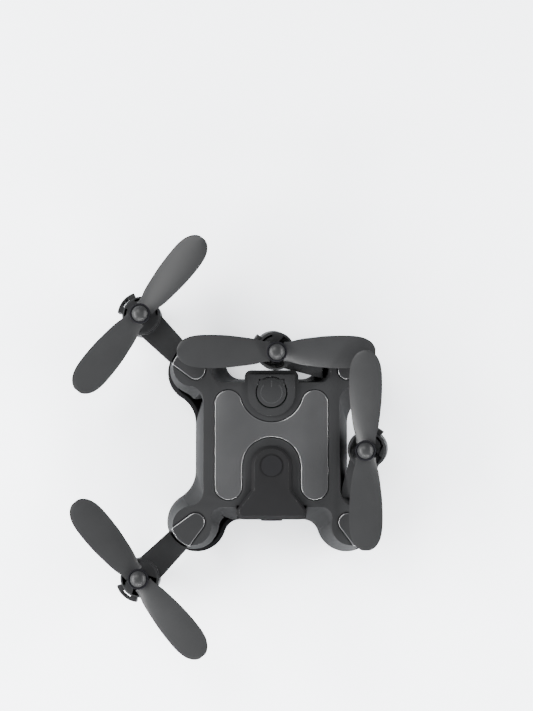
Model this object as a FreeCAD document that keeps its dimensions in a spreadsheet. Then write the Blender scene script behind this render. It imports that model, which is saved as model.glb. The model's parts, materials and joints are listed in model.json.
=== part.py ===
import FreeCAD, Part
import math
import os
import Sketcher

# A palm-sized folding quadcopter. Millimetres, +Z up, nose towards -Y, belly on z = 0.
# The body carries four identical arms in a pinwheel. Each arm turns on a hinge whose axis leans
# a little, so a folded arm lifts its motor and tips it towards the body.
# The two arms on the -X side stand open, and the two arms on the +X side are folded.

os.makedirs("parts", exist_ok=True)
doc = FreeCAD.newDocument("palm_drone")
Vec = FreeCAD.Vector
UP = Vec(0, 0, 1)

SIZES = [
    ("hinge_offset", 21.1, "hinge axis from the middle, in X and in Y"),
    ("hinge_height", 9.6, "height of the middle of the hinge tongue"),
    ("hinge_lean", 4.6, "lean of the hinge axis, degrees"),
    ("hinge_lean_heading", -76.0, "heading of that lean from the open arm, degrees"),
    ("arm_length", 21.6, "hinge axis to motor axis"),
    ("fold_angle", 118.0, "turn of an arm from open to folded, degrees"),
    ("rim_height", 7.4, "height of the parting line of the two shells"),
    ("plate_height", 18.0, "height of the flat top plate"),
    ("rim_half_width", 21.5, "half width of the shells at the parting line"),
    ("rim_rear", 19.3, "rear of the shells at the parting line"),
    ("rim_front", 20.5, "front of the shells at the parting line"),
    ("rim_pod", 8.4, "radius of a corner pod at the parting line"),
    ("rim_side_blend", 8.5, "hollow between pod and side at the parting line"),
    ("rim_end_blend", 4.4, "hollow between pod and end at the parting line"),
    ("plate_half_width", 18.9, "half width of the top plate"),
    ("plate_rear", 17.7, "rear of the top plate"),
    ("plate_front", 16.9, "front of the top plate"),
    ("plate_pod", 5.4, "radius of a corner lobe of the top plate"),
    ("plate_pod_shift", 0.9, "corner lobe of the plate outboard of the hinge, in X and in Y"),
    ("plate_side_blend", 4.2, "hollow between lobe and side of the plate"),
    ("plate_end_blend", 3.0, "hollow between lobe and end of the plate"),
    ("belly_half_width", 17.0, "half width of the flat belly"),
    ("belly_end", 15.5, "front and rear of the flat belly"),
    ("belly_pod", 5.6, "radius of a corner lobe of the belly"),
    ("belly_blend", 6.0, "hollows of the belly outline"),
    ("shell_wall", 1.2, "wall of the two shells"),
    ("knuckle_radius", 3.2, "radius of the hinge knuckle"),
    ("tongue_height", 3.2, "height of the hinge tongue and knuckle"),
    ("tongue_reach", 10.6, "outer end of the hinge tongue from the hinge axis"),
    ("slot_gap", 0.3, "gap between the hinge tongue and its slot in the shell"),
    ("tilt_play", 0.35, "extra room above and below a swinging arm, for the lean of its hinge"),
    ("root_gap", 0.3, "gap between the inner end of the arm and the pod wall"),
    ("core_gap", 0.15, "pod wall inside the cone that the arm keeps clear of"),
    ("pin_radius", 0.75, "radius of the hinge pin"),
    ("pin_length", 12.4, "length of the hinge pin"),
    ("run_gap", 0.05, "radial running clearance of the hinge pin and the motor shaft"),
    ("seat_gap", 0.02, "gap round a fixed piece in its seat"),
    ("arm_root_half", 3.05, "half width of the arm at the hinge axis"),
    ("arm_tip_half", 4.2, "half width of the arm at the motor"),
    ("arm_base", 7.9, "height of the underside of the arm"),
    ("arm_top", 16.4, "height of the top of the arm"),
    ("arm_wall", 0.8, "wall of the arm"),
    ("arm_cover_thickness", 0.9, "thickness of the cover under the arm"),
    ("pod_radius", 5.35, "radius of the motor housing"),
    ("pod_foot_radius", 4.2, "radius of the motor housing at its lower end"),
    ("pod_base", 1.6, "height of the lower end of the motor housing"),
    ("pod_floor", 0.7, "floor of the motor housing"),
    ("guard_radius", 6.65, "outer radius of the bow beyond the motor"),
    ("guard_slot", 6.05, "outer radius of the slot inside the bow"),
    ("guard_half_angle", 32.0, "half angle of the bow, degrees"),
    ("guard_turn", 5.5, "middle of the bow from the line of the arm, degrees"),
    ("guard_slot_half_angle", 13.0, "half angle of the slot, degrees"),
    ("guard_drop", 5.0, "height of the bow"),
    ("motor_radius", 3.5, "radius of the coreless motor"),
    ("motor_length", 16.0, "length of the coreless motor"),
    ("motor_core_radius", 2.6, "radius of the hollow inside the motor can"),
    ("motor_core_length", 11.5, "length of that hollow, from 1 mm below the can"),
    ("motor_gap", 0.04, "radial gap round the motor"),
    ("shaft_radius", 0.5, "radius of the motor shaft"),
    ("shaft_rise", 4.9, "motor shaft above the motor"),
    ("shaft_depth", 4.0, "motor shaft inside the motor"),
    ("cap_radius", 5.15, "radius of the motor cap"),
    ("cap_thickness", 1.1, "thickness of the motor cap"),
    ("vent_radius", 4.4, "middle radius of the vent slots in the motor cap"),
    ("vent_width", 0.6, "width of the vent slots in the motor cap"),
    ("vent_start", 21.0, "start of the outer vent slots from the line of the arm, degrees"),
    ("vent_sweep", 40.0, "length of the outer vent slots, degrees"),
    ("vent_far_start", 101.0, "start of the inner vent slots from the line of the arm, degrees"),
    ("vent_far_sweep", 33.0, "length of the inner vent slots, degrees"),
    ("vent_depth", 2.4, "depth of the vent slots into the motor housing"),
    ("foot_radius", 3.4, "radius of the rubber foot"),
    ("foot_height", 1.2, "height of the rubber foot"),
    ("rotor_radius", 27.5, "radius of the propeller"),
    ("rotor_height", 22.6, "height of the propeller plane with the arm open"),
    ("rotor_hub_radius", 2.5, "radius of the propeller hub"),
    ("rotor_hub_drop", 1.9, "propeller hub below the propeller plane"),
    ("rotor_hub_rise", 0.9, "straight part of the hub above the propeller plane"),
    ("rotor_dome", 1.7, "rise of the domed top of the hub"),
    ("rotor_chord", 9.3, "greatest chord of a propeller blade"),
    ("rotor_thickness", 0.8, "greatest thickness of a propeller blade"),
    ("rotor_pitch", 12.0, "pitch of a propeller blade at half its span, degrees"),
    ("cover_root", 2.6, "inner radius of a hinge cover"),
    ("cover_end_half", 3.5, "half width of the outer end of a hinge cover"),
    ("cover_reach", 5.8, "outer corner of a hinge cover from the hinge axis"),
    ("cover_bow", 0.9, "bow of the outer end of a hinge cover"),
    ("cover_rise", 0.35, "hinge cover above the top plate"),
    ("cover_depth", 0.8, "hinge cover below the top plate"),
    ("groove", 0.22, "groove round the covers and the panel"),
    ("panel_half_width", 15.75, "half width of the inlaid panel"),
    ("panel_rear", 15.6, "rear of the inlaid panel"),
    ("panel_front", 14.9, "front of the inlaid panel"),
    ("panel_lobe", 3.7, "radius of a rear lobe of the panel"),
    ("panel_rear_dip", 6.65, "bottom of the rear dip of the panel"),
    ("panel_u_radius", 8.2, "radius of the front hollow of the panel"),
    ("panel_u_centre", 5.65, "centre of the front hollow, in front of the middle"),
    ("panel_depth", 0.7, "depth of the recess for the panel"),
    ("panel_rise", 0.1, "panel above the top plate"),
    ("nose_radius", 5.6, "radius of the rear end of the nose housing"),
    ("nose_centre", 5.5, "centre of that end, in front of the middle"),
    ("nose_straight", 12.3, "front end of the straight part of the nose housing"),
    ("nose_half_width", 9.7, "half width of the nose housing at the front"),
    ("nose_shoulder", 17.6, "where the nose housing reaches its full width"),
    ("nose_front", 20.2, "front face of the upper part of the nose housing"),
    ("nose_chin", 20.4, "front face of the lower part of the nose housing"),
    ("nose_chin_top", 14.6, "top of the lower part of the nose housing"),
    ("nose_corner", 2.0, "radius of the front corners of the nose housing"),
    ("nose_rise", 1.2, "nose housing above the top plate"),
    ("nose_depth", 1.0, "nose housing below the top plate"),
    ("nose_base", 8.6, "lower edge of the nose housing"),
    ("nose_back", 16.4, "rear face of the lower part of the nose housing"),
    ("disc_radius", 2.9, "radius of the status lamp lens on the nose"),
    ("disc_rise", 0.25, "status lamp lens above the nose housing"),
    ("lens_height", 13.6, "height of the camera axis"),
    ("lens_radius", 3.0, "radius of the lens barrel"),
    ("lens_reach", 0.3, "lens barrel in front of the nose housing"),
    ("lens_length", 6.2, "length of the lens barrel"),
    ("glass_radius", 2.1, "radius of the front lens"),
    ("bump_half_width", 7.5, "half width of the rear bump"),
    ("bump_rear", 21.1, "rear face of the rear bump"),
    ("bump_base", 8.4, "lower edge of the rear bump"),
    ("bump_corner", 1.8, "corner radius of the rear bump"),
    ("dome_radius", 6.6, "radius of the raised ring round the power button"),
    ("dome_centre", 14.9, "centre of the power button, behind the middle"),
    ("dome_rise", 0.7, "raised ring above the top plate"),
    ("button_radius", 4.1, "radius of the power button"),
    ("button_root_half", 3.25, "half width of the root of the power button"),
    ("button_gap", 0.35, "gap round the power button"),
    ("button_thickness", 1.3, "thickness of the power button"),
    ("button_root", 18.6, "hinge line of the power button, behind the middle"),
    ("button_travel", 4.0, "turn of the power button when pressed, degrees"),
    ("board_length", 25.0, "length of the main board"),
    ("board_width", 22.0, "width of the main board"),
    ("board_thickness", 1.0, "thickness of the main board"),
    ("board_height", 9.0, "height of the main board"),
    ("cell_length", 25.0, "length of the battery cell"),
    ("cell_width", 20.0, "width of the battery cell"),
    ("cell_height", 6.0, "height of the battery cell"),
    ("cell_base", 1.6, "height of the underside of the battery cell"),
    ("hatch_length", 29.0, "length of the battery cover"),
    ("hatch_width", 24.0, "width of the battery cover"),
    ("screw_x", 15.2, "shell screws from the middle in X"),
    ("screw_y", 11.5, "shell screws from the middle in Y"),
    ("screw_radius", 0.6, "radius of the shank of a shell screw"),
    ("screw_head", 1.3, "radius of the head of a shell screw"),
    ("boss_radius", 1.9, "radius of a screw boss"),
    ("pin_rise", 1.1, "middle of the hinge pin above the middle of the tongue"),
    ("hinge_post_radius", 2.6, "radius of the post under a hinge"),
    ("screw_bite", 4.0, "depth of the screw holes in the top shell"),
    ("screw_sink", 0.5, "depth of the screw heads in the belly"),
    ("screw_head_height", 1.0, "height of the head of a shell screw"),
    ("hatch_thickness", 0.7, "thickness of the battery cover"),
    ("board_shift", 2.0, "middle of the main board behind the middle"),
    ("switch_height", 16.2, "top of the housing of the power switch"),
    ("nose_bevel", 0.9, "bevel round the top of the nose housing"),
    ("disc_depth", 0.5, "depth of the seat of the status lamp lens"),
    ("glass_thickness", 0.6, "thickness of the front lens"),
    ("channel_start", 11.2, "start of the lead channel in the arm"),
    ("channel_length", 4.6, "length of the lead channel in the arm"),
    ("cap_bevel", 0.4, "bevel round the motor cap"),
    ("shaft_top", 3.6, "depth of the shaft hole in the hub"),
    ("port_lip", 0.4, "wall of the charging port"),
    ("port_inset", 0.2, "mouth of the charging port inside the rear bump"),
    ("port_seat", 1.2, "inner end of the charging port behind the middle of the power button"),
    ("camera_board_width", 10.0, "width of the camera board"),
    ("camera_board_height", 5.0, "height of the camera board"),
    ("camera_board_thickness", 0.8, "thickness of the camera board"),
    ("ribbon_width", 6.0, "width of the camera ribbon"),
    ("ribbon_length", 4.0, "length of the camera ribbon"),
    ("ribbon_thickness", 0.2, "thickness of the camera ribbon"),
    ("glass_setback", 0.2, "front lens behind the rim of its barrel"),
    ("switch_width", 4.4, "width of the housing of the power switch"),
    ("switch_body", 2.0, "height of the housing of the power switch"),
    ("switch_foot", 3.0, "width of the post under the power switch"),
    ("switch_reach", 3.5, "front of the power switch in front of the middle of the button"),
    ("switch_stem", 0.7, "stem of the power switch above its housing"),
    ("switch_stem_radius", 1.0, "radius of the stem of the power switch"),
    ("drive_length", 2.0, "length of the drive slot of a shell screw"),
    ("drive_width", 0.3, "width of the drive slot of a shell screw"),
    ("drive_depth", 0.4, "depth of the drive slot of a shell screw"),
    ("hatch_ledge", 1.5, "ledge that the battery cover seats on"),
    ("port_thickness", 2.8, "thickness of the charging port"),
    ("port_half_width", 3.8, "half width of the charging port"),
    ("chip_side", 6.0, "side of the flight chip"),
    ("chip_height", 1.0, "height of the chips"),
]

sheet = doc.addObject("Spreadsheet::Sheet", "dims")
for row, (alias, value, meaning) in enumerate(SIZES, start=1):
    sheet.set("A%d" % row, alias)
    sheet.set("B%d" % row, str(value))
    sheet.set("C%d" % row, meaning)
    sheet.setAlias("B%d" % row, alias)
doc.recompute()


def size(alias):
    """The value of a named cell."""
    return float(sheet.get(alias))


def rad(degrees):
    return math.radians(degrees)


subparts = []


def keep(obj, label, placement=None):
    """Marks an object as a finished sub-part with its node name."""
    obj.Label = label
    if placement is not None:
        obj.Placement = placement
    subparts.append(obj)
    return obj


def bind(obj, **expressions):
    """Binds properties to expressions of the sheet; cell names stand alone in them."""
    for prop, expression in expressions.items():
        obj.setExpression(prop.replace("__", "."), expression)
    return obj


def at(obj, x="0", y="0", z="0"):
    """Binds the place of a primitive to the sheet."""
    obj.setExpression("Placement.Base.x", x)
    obj.setExpression("Placement.Base.y", y)
    obj.setExpression("Placement.Base.z", z)
    return obj


def cylinder(name, radius, height, x="0", y="0", z="0", angle=None):
    obj = doc.addObject("Part::Cylinder", name)
    bind(obj, Radius=radius, Height=height)
    if angle is not None:
        bind(obj, Angle=angle)
    return at(obj, x, y, z)


def cone(name, low_radius, high_radius, height, x="0", y="0", z="0"):
    obj = doc.addObject("Part::Cone", name)
    bind(obj, Radius1=low_radius, Radius2=high_radius, Height=height)
    return at(obj, x, y, z)


def box(name, length, width, height, x="0", y="0", z="0"):
    """A box whose near lower corner is at x, y, z."""
    obj = doc.addObject("Part::Box", name)
    bind(obj, Length=length, Width=width, Height=height)
    return at(obj, x, y, z)


def turned(obj, axis, degrees):
    """Turns a primitive about its own corner or centre."""
    place = obj.Placement
    place.Rotation = FreeCAD.Rotation(axis, degrees)
    obj.Placement = place
    return obj


def fuse(name, shapes):
    obj = doc.addObject("Part::MultiFuse", name)
    obj.Shapes = shapes
    return obj


def cut(name, base, tools):
    """Cuts each tool away from the base."""
    obj = doc.addObject("Part::Cut", name)
    obj.Base = base
    if len(tools) == 1:
        obj.Tool = tools[0]
    else:
        obj.Tool = fuse(name + "_tools", tools)
    return obj


def common(name, first, second):
    obj = doc.addObject("Part::Common", name)
    obj.Base = first
    obj.Tool = second
    return obj


# ---------------------------------------------------------------------------------------------
# Sketched outlines. An element is ("line", start, end, rules) or ("arc", centre, radius, from
# degrees, to degrees, rules); an arc drawn clockwise has a "cw" rule. Neighbours meet tangent.

def add_rule(sketch, constraint, expression):
    index = sketch.addConstraint(constraint)
    sketch.setExpression("Constraints[%d]" % index, expression)


def outline(name, elements, level, smooth=True):
    """A closed sketch in the XY plane at the height that the expression names."""
    sketch = doc.addObject("Sketcher::SketchObject", name)
    sketch.setExpression("Placement.Base.z", level)
    ends = []
    for element in elements:
        rules = element[-1]
        if element[0] == "line":
            start = Vec(element[1][0], element[1][1], 0)
            end = Vec(element[2][0], element[2][1], 0)
            index = sketch.addGeometry(Part.LineSegment(start, end), False)
            ends.append((index, 1, 2))
            if "x" in rules:
                sketch.addConstraint(Sketcher.Constraint("Vertical", index))
                add_rule(sketch, Sketcher.Constraint("DistanceX", -1, 1, index, 1, start.x), rules["x"])
            if "y" in rules:
                sketch.addConstraint(Sketcher.Constraint("Horizontal", index))
                add_rule(sketch, Sketcher.Constraint("DistanceY", -1, 1, index, 1, start.y), rules["y"])
            continue
        centre = Vec(element[1][0], element[1][1], 0)
        circle = Part.Circle(centre, UP, element[2])
        first = rad(element[3])
        last = rad(element[4])
        clockwise = "cw" in rules
        if clockwise:
            first, last = last, first
        index = sketch.addGeometry(Part.ArcOfCircle(circle, first, last), False)
        ends.append((index, 2, 1) if clockwise else (index, 1, 2))
        if "radius" in rules:
            add_rule(sketch, Sketcher.Constraint("Radius", index, element[2]), rules["radius"])
        if "cx" in rules:
            add_rule(sketch, Sketcher.Constraint("DistanceX", -1, 1, index, 3, centre.x), rules["cx"])
        if "cy" in rules:
            add_rule(sketch, Sketcher.Constraint("DistanceY", -1, 1, index, 3, centre.y), rules["cy"])
    kind = "Tangent" if smooth else "Coincident"
    for number, (index, _, leave) in enumerate(ends):
        follower, enter, _ = ends[(number + 1) % len(ends)]
        sketch.addConstraint(Sketcher.Constraint(kind, index, leave, follower, enter))
    return sketch


def heading(origin, target):
    return math.degrees(math.atan2(target[1] - origin[1], target[0] - origin[0]))


def blend_centre(pod, pod_radius, blend, line, along_x):
    """Centre of a hollow arc that touches a pod circle and a straight side."""
    sign = math.copysign(1.0, line)
    offset = line + sign * blend
    reach = pod_radius + blend
    if along_x:
        rest = math.sqrt(reach ** 2 - (offset - pod[1]) ** 2)
        return (pod[0] - math.copysign(rest, pod[0]), offset)
    rest = math.sqrt(reach ** 2 - (offset - pod[0]) ** 2)
    return (offset, pod[1] - math.copysign(rest, pod[1]))


def body_outline(name, level, pod_at, pod, side, rear, front, side_blend, end_blend, inset="0"):
    """The X-shaped outline of the body: four pods joined by hollow blends and straight sides.

    Each argument is an expression of the sheet. The inset moves the whole outline inwards.
    """
    grow = value(inset)
    pod_xy = value(pod_at)
    pod_r = value(pod) - grow
    side_x = value(side) - grow
    rear_y = value(rear) - grow
    front_y = value(front) - grow
    side_r = value(side_blend) + grow
    end_r = value(end_blend) + grow
    corners = [(1, 1), (-1, 1), (-1, -1), (1, -1)]
    elements = []
    entries = []
    for sx, sy in corners:
        centre = (sx * pod_xy, sy * pod_xy)
        end_y = rear_y if sy > 0 else -front_y
        to_side = blend_centre(centre, pod_r, side_r, sx * side_x, False)
        to_end = blend_centre(centre, pod_r, end_r, end_y, True)
        entries.append((centre, to_side, to_end, end_y))
    pod_rule = "%s - (%s)" % (pod, inset)
    side_rule = "%s + (%s)" % (side_blend, inset)
    end_rule = "%s + (%s)" % (end_blend, inset)
    for number, (sx, sy) in enumerate(corners):
        centre, to_side, to_end, end_y = entries[number]
        following = entries[(number + 1) % 4]
        side_first = sx * sy > 0
        lead, trail = (to_side, to_end) if side_first else (to_end, to_side)
        lead_r, trail_r = (side_r, end_r) if side_first else (end_r, side_r)
        lead_rule, trail_rule = (side_rule, end_rule) if side_first else (end_rule, side_rule)
        side_flat = 180 if sx > 0 else 0
        end_flat = -90 if sy > 0 else 90
        lead_flat, trail_flat = (side_flat, end_flat) if side_first else (end_flat, side_flat)
        start = heading(centre, lead)
        finish = heading(centre, trail)
        while finish < start:
            finish += 360
        lead_turn = (lead_flat - (start + 180)) % 360
        elements.append(("arc", lead, lead_r, start + 180 + lead_turn, start + 180,
                         {"cw": True, "radius": lead_rule}))
        elements.append(("arc", centre, pod_r, start, finish,
                         {"radius": pod_rule, "cx": "%d * (%s)" % (sx, pod_at),
                          "cy": "%d * (%s)" % (sy, pod_at)}))
        trail_turn = (finish + 180 - trail_flat) % 360
        elements.append(("arc", trail, trail_r, finish + 180, finish + 180 - trail_turn,
                         {"cw": True, "radius": trail_rule}))
        next_lead = following[1] if not side_first else following[2]
        if side_first:
            edge = rear if sy > 0 else front
            elements.append(("line", (to_end[0], end_y), (next_lead[0], end_y),
                             {"y": "%d * (%s - %s)" % (sy, edge, inset)}))
        else:
            elements.append(("line", (sx * side_x, to_side[1]), (sx * side_x, next_lead[1]),
                             {"x": "%d * (%s - %s)" % (sx, side, inset)}))
    return outline(name, elements, level)


def value(expression):
    """The number that an expression of the sheet stands for."""
    names = {alias: size(alias) for alias, _, _ in SIZES}
    total = 0.0
    sign = 1.0
    for token in expression.replace("dims.", "").split():
        if token in ("+", "-"):
            sign = 1.0 if token == "+" else -1.0
            continue
        total += sign * (names[token] if token in names else float(token))
    return total


def loft(name, sections):
    obj = doc.addObject("Part::Loft", name)
    obj.Sections = sections
    obj.Solid = True
    obj.Ruled = True
    return obj


def prism(name, sketch, height):
    """A straight upward extrusion of a closed sketch."""
    obj = doc.addObject("Part::Extrusion", name)
    obj.Base = sketch
    obj.DirMode = "Custom"
    obj.Dir = UP
    obj.Solid = True
    obj.setExpression("LengthFwd", height)
    return obj


# ---------------------------------------------------------------------------------------------
# Places of the four arms. Corner 0 is at (+X, +Y) and the others follow counter-clockwise.

CORNERS = [
    ("rear_left", 0, True),
    ("rear_right", 1, False),
    ("front_right", 2, False),
    ("front_left", 3, True),
]


def lean_axis():
    """Direction of the hinge axis in the arm's own frame, whose X runs along the arm."""
    lean = rad(size("hinge_lean"))
    course = rad(size("hinge_lean_heading"))
    return Vec(math.sin(lean) * math.cos(course), math.sin(lean) * math.sin(course), math.cos(lean))


def corner_place(corner):
    """The arm's own frame at a corner, with the arm open."""
    spin = FreeCAD.Rotation(UP, 45 + 90 * corner)
    quarter = FreeCAD.Rotation(UP, 90 * corner)
    centre = quarter.multVec(Vec(size("hinge_offset"), size("hinge_offset"), 0))
    return FreeCAD.Placement(centre, spin)


def fold_turn(degrees):
    """The turn about the hinge, in the arm's own frame."""
    pivot = Vec(0, 0, size("hinge_height"))
    return FreeCAD.Placement(Vec(0, 0, 0), FreeCAD.Rotation(lean_axis(), degrees), pivot)


def arm_place(corner, folded):
    place = corner_place(corner)
    if folded:
        place = place.multiply(fold_turn(size("fold_angle")))
    return place


def on_hinge(obj, start):
    """Puts a cylinder on the leaning hinge axis, starting at a distance along it."""
    axis = lean_axis()
    pivot = Vec(0, 0, size("hinge_height"))
    obj.Placement = FreeCAD.Placement(pivot + axis * start, FreeCAD.Rotation(UP, axis))
    return obj


def hinge_cylinder(name, radius, height, start):
    obj = doc.addObject("Part::Cylinder", name)
    bind(obj, Radius=radius, Height=height)
    return on_hinge(obj, start)


# ---------------------------------------------------------------------------------------------
# Shells.

RIM = ("dims.hinge_offset", "dims.rim_pod", "dims.rim_half_width", "dims.rim_rear",
       "dims.rim_front", "dims.rim_side_blend", "dims.rim_end_blend")
PLATE = ("dims.hinge_offset + dims.plate_pod_shift", "dims.plate_pod", "dims.plate_half_width",
         "dims.plate_rear", "dims.plate_front", "dims.plate_side_blend", "dims.plate_end_blend")
BELLY = ("dims.hinge_offset", "dims.belly_pod", "dims.belly_half_width", "dims.belly_end",
         "dims.belly_end", "dims.belly_blend", "dims.belly_blend")
WALL = "dims.shell_wall"


def upper_hull():
    rim = body_outline("upper_rim", "dims.rim_height", *RIM)
    plate = body_outline("upper_plate", "dims.plate_height", *PLATE)
    return loft("upper_hull", [rim, plate])


def upper_hollow():
    rim = body_outline("hollow_rim", "dims.rim_height - 0.01", *RIM, inset=WALL)
    plate = body_outline("hollow_plate", "dims.plate_height - 2 * dims.shell_wall", *PLATE, inset=WALL)
    return loft("upper_hollow", [rim, plate])


def in_lean(obj, low):
    """Stands an object on the leaning hinge axis, at a distance along it from its middle."""
    lean = FreeCAD.Placement(Vec(0, 0, size("hinge_height")), FreeCAD.Rotation(UP, lean_axis()))
    obj.Placement = lean.multiply(FreeCAD.Placement(Vec(0, 0, low), FreeCAD.Rotation()))
    return obj


def swept_space(name, low, height, half):
    """What a beam takes up as it swings from open to folded: a sector and a strip at the open end."""
    sector = doc.addObject("Part::Cylinder", name + "_sector")
    bind(sector, Radius="2 * dims.rim_pod", Height=height, Angle="dims.fold_angle")
    strip = doc.addObject("Part::Box", name + "_open_strip")
    bind(strip, Length="2 * dims.rim_pod", Width=half, Height=height)
    in_lean(sector, low)
    in_lean(strip, low)
    side = FreeCAD.Placement(Vec(0, -value(half), 0), FreeCAD.Rotation())
    strip.Placement = strip.Placement.multiply(side)
    return [sector, strip]


def folded_beam(name, low, high, grow):
    """A beam as wide as the arm and its clearance, where the folded arm lies."""
    beam = wedge(name, "(dims.arm_root_half + %s)" % grow, "(dims.arm_tip_half + %s)" % grow,
                 "dims.hinge_height + (%s)" % low, "dims.hinge_height + (%s)" % high, "0",
                 "dims.arm_length")
    beam.Placement = fold_turn(size("fold_angle")).multiply(beam.Placement)
    return beam


def pod_core(name, grow):
    """The cone about the hinge axis that holds the pod wall; the full-height arm stays outside."""
    rise = "dims.plate_height - dims.rim_height"
    core = doc.addObject("Part::Cone", name)
    bind(core, Radius1="dims.rim_pod + dims.core_gap + " + grow,
         Radius2="dims.plate_pod + sqrt(2) * dims.plate_pod_shift + dims.core_gap + " + grow,
         Height=rise)
    return in_lean(core, size("rim_height") - size("hinge_height"))


def arm_slot(corner):
    """The slot of the hinge tongue, open down to the parting line, and the room of the arm."""
    name = "slot_%d" % corner
    depth = size("hinge_height") - size("rim_height") + 1.0
    high = "dims.tongue_height / 2 + dims.slot_gap"
    height = high + " + dims.hinge_height - dims.rim_height + 1"
    knuckle = hinge_cylinder(name + "_knuckle", "dims.knuckle_radius + dims.slot_gap", height, -depth)
    tongue = [knuckle] + swept_space(name + "_tongue", -depth, height, "dims.arm_root_half + dims.slot_gap")
    tongue.append(folded_beam(name + "_tongue_folded", "dims.rim_height - dims.hinge_height - 1", high,
                              "dims.slot_gap"))
    low = size("arm_base") - size("hinge_height") - size("tilt_play")
    rise = "dims.arm_top - dims.arm_base + 2 * dims.tilt_play"
    room = swept_space(name + "_room", low, rise, "dims.arm_root_half + dims.tilt_play")
    room.append(folded_beam(name + "_room_folded", "dims.arm_base - dims.hinge_height - dims.slot_gap",
                            "dims.arm_top - dims.hinge_height + dims.slot_gap", "dims.slot_gap"))
    outside = cut(name + "_room_outside", fuse(name + "_room_raw", room),
                  [pod_core(name + "_core", "0")])
    slot = fuse(name, tongue + [outside])
    slot.Placement = corner_place(corner)
    return slot


def pin_bore(corner, stem):
    """The seat of a hinge pin in a shell."""
    start = size("pin_rise") - size("pin_length") / 2
    bore = hinge_cylinder("%s_pin_bore_%d" % (stem, corner), "dims.pin_radius + dims.seat_gap",
                          "dims.pin_length", start)
    bore.Placement = corner_place(corner).multiply(bore.Placement)
    return bore


def cover_outline(name, level, grow):
    """The outline of a hinge cover along an open arm: round at the hinge, wider outboard."""
    root = size("cover_root") + value(grow)
    half = size("cover_end_half") + value(grow)
    reach = size("cover_reach") + value(grow)
    tip = reach + size("cover_bow")
    slope = math.asin((half - root) / reach) if half > root else 0.0
    start = Vec(-root * math.sin(slope), root * math.cos(slope), 0)
    corner = Vec(reach, half, 0)
    mirrored = Vec(start.x, -start.y, 0)
    low_corner = Vec(reach, -half, 0)
    sketch = doc.addObject("Sketcher::SketchObject", name)
    sketch.setExpression("Placement.Base.z", level)
    back = sketch.addGeometry(Part.Arc(start, Vec(-root, 0, 0), mirrored), False)
    low = sketch.addGeometry(Part.LineSegment(mirrored, low_corner), False)
    end = sketch.addGeometry(Part.Arc(low_corner, Vec(tip, 0, 0), corner), False)
    high = sketch.addGeometry(Part.LineSegment(corner, start), False)
    sketch.addConstraint(Sketcher.Constraint("Coincident", back, 1, high, 2))
    sketch.addConstraint(Sketcher.Constraint("Coincident", back, 2, low, 1))
    sketch.addConstraint(Sketcher.Constraint("Coincident", low, 2, end, 1))
    sketch.addConstraint(Sketcher.Constraint("Coincident", end, 2, high, 1))
    sketch.addConstraint(Sketcher.Constraint("Coincident", back, 3, -1, 1))
    rules = [
        (Sketcher.Constraint("Radius", back, root), "dims.cover_root + " + grow),
        (Sketcher.Constraint("DistanceX", -1, 1, low, 2, reach), "dims.cover_reach + " + grow),
        (Sketcher.Constraint("DistanceY", low, 2, -1, 1, half), "dims.cover_end_half + " + grow),
        (Sketcher.Constraint("DistanceX", -1, 1, high, 1, reach), "dims.cover_reach + " + grow),
        (Sketcher.Constraint("DistanceY", -1, 1, high, 1, half), "dims.cover_end_half + " + grow),
    ]
    for constraint, expression in rules:
        add_rule(sketch, constraint, expression)
    return sketch


def panel_outline(name, level, grow="0"):
    """The H-shaped panel: two rear lobes, two front legs, a rear dip and a front hollow."""
    out = value(grow)
    half = size("panel_half_width") + out
    lobe = size("panel_lobe") + out
    lobe_x = half - lobe
    lobe_y = size("panel_rear") - size("panel_lobe")
    dip_low = size("panel_rear_dip")
    # The dip circle touches both lobe circles, which fixes its radius.
    drop = lobe_y - dip_low
    plain_lobe = size("panel_lobe")
    dip_plain = (lobe_x ** 2 + drop ** 2 - plain_lobe ** 2) / (2 * (plain_lobe + drop))
    dip_y = dip_low + dip_plain
    dip = dip_plain - out
    hollow = size("panel_u_radius") - out
    hollow_y = -size("panel_u_centre")
    leg = (half - hollow) / 2
    leg_x = hollow + leg
    leg_y = -size("panel_front") - out + leg
    turn = heading((lobe_x, lobe_y), (0.0, dip_y))
    across = "(dims.panel_half_width - dims.panel_lobe)"
    fall = "(dims.panel_rear - dims.panel_lobe - dims.panel_rear_dip)"
    dip_rule = ("(%s * %s + %s * %s - dims.panel_lobe * dims.panel_lobe)"
                " / (2 * (dims.panel_lobe + %s)) - %s" % (across, across, fall, fall, fall, grow))
    elements = [
        ("arc", (leg_x, leg_y), leg, 180, 360, {"cy": "-dims.panel_front - %s" % grow
         + " + (dims.panel_half_width - dims.panel_u_radius) / 2 + " + grow}),
        ("line", (half, leg_y), (half, lobe_y), {"x": "dims.panel_half_width + " + grow}),
        ("arc", (lobe_x, lobe_y), lobe, 0, turn,
         {"radius": "dims.panel_lobe + " + grow, "cy": "dims.panel_rear - dims.panel_lobe"}),
        ("arc", (0.0, dip_y), dip, turn + 180, -turn, {"cw": True, "radius": dip_rule}),
        ("arc", (-lobe_x, lobe_y), lobe, 180 - turn, 180,
         {"radius": "dims.panel_lobe + " + grow, "cy": "dims.panel_rear - dims.panel_lobe"}),
        ("line", (-half, lobe_y), (-half, leg_y), {"x": "-dims.panel_half_width - " + grow}),
        ("arc", (-leg_x, leg_y), leg, 180, 360, {"cy": "-dims.panel_front - %s" % grow
         + " + (dims.panel_half_width - dims.panel_u_radius) / 2 + " + grow}),
        ("line", (-hollow, leg_y), (-hollow, hollow_y), {"x": "-dims.panel_u_radius + " + grow}),
        ("arc", (0.0, hollow_y), hollow, 180, 0, {"cw": True, "cy": "-dims.panel_u_centre"}),
        ("line", (hollow, hollow_y), (hollow, leg_y), {"x": "dims.panel_u_radius - " + grow}),
    ]
    return outline(name, elements, level)


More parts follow.
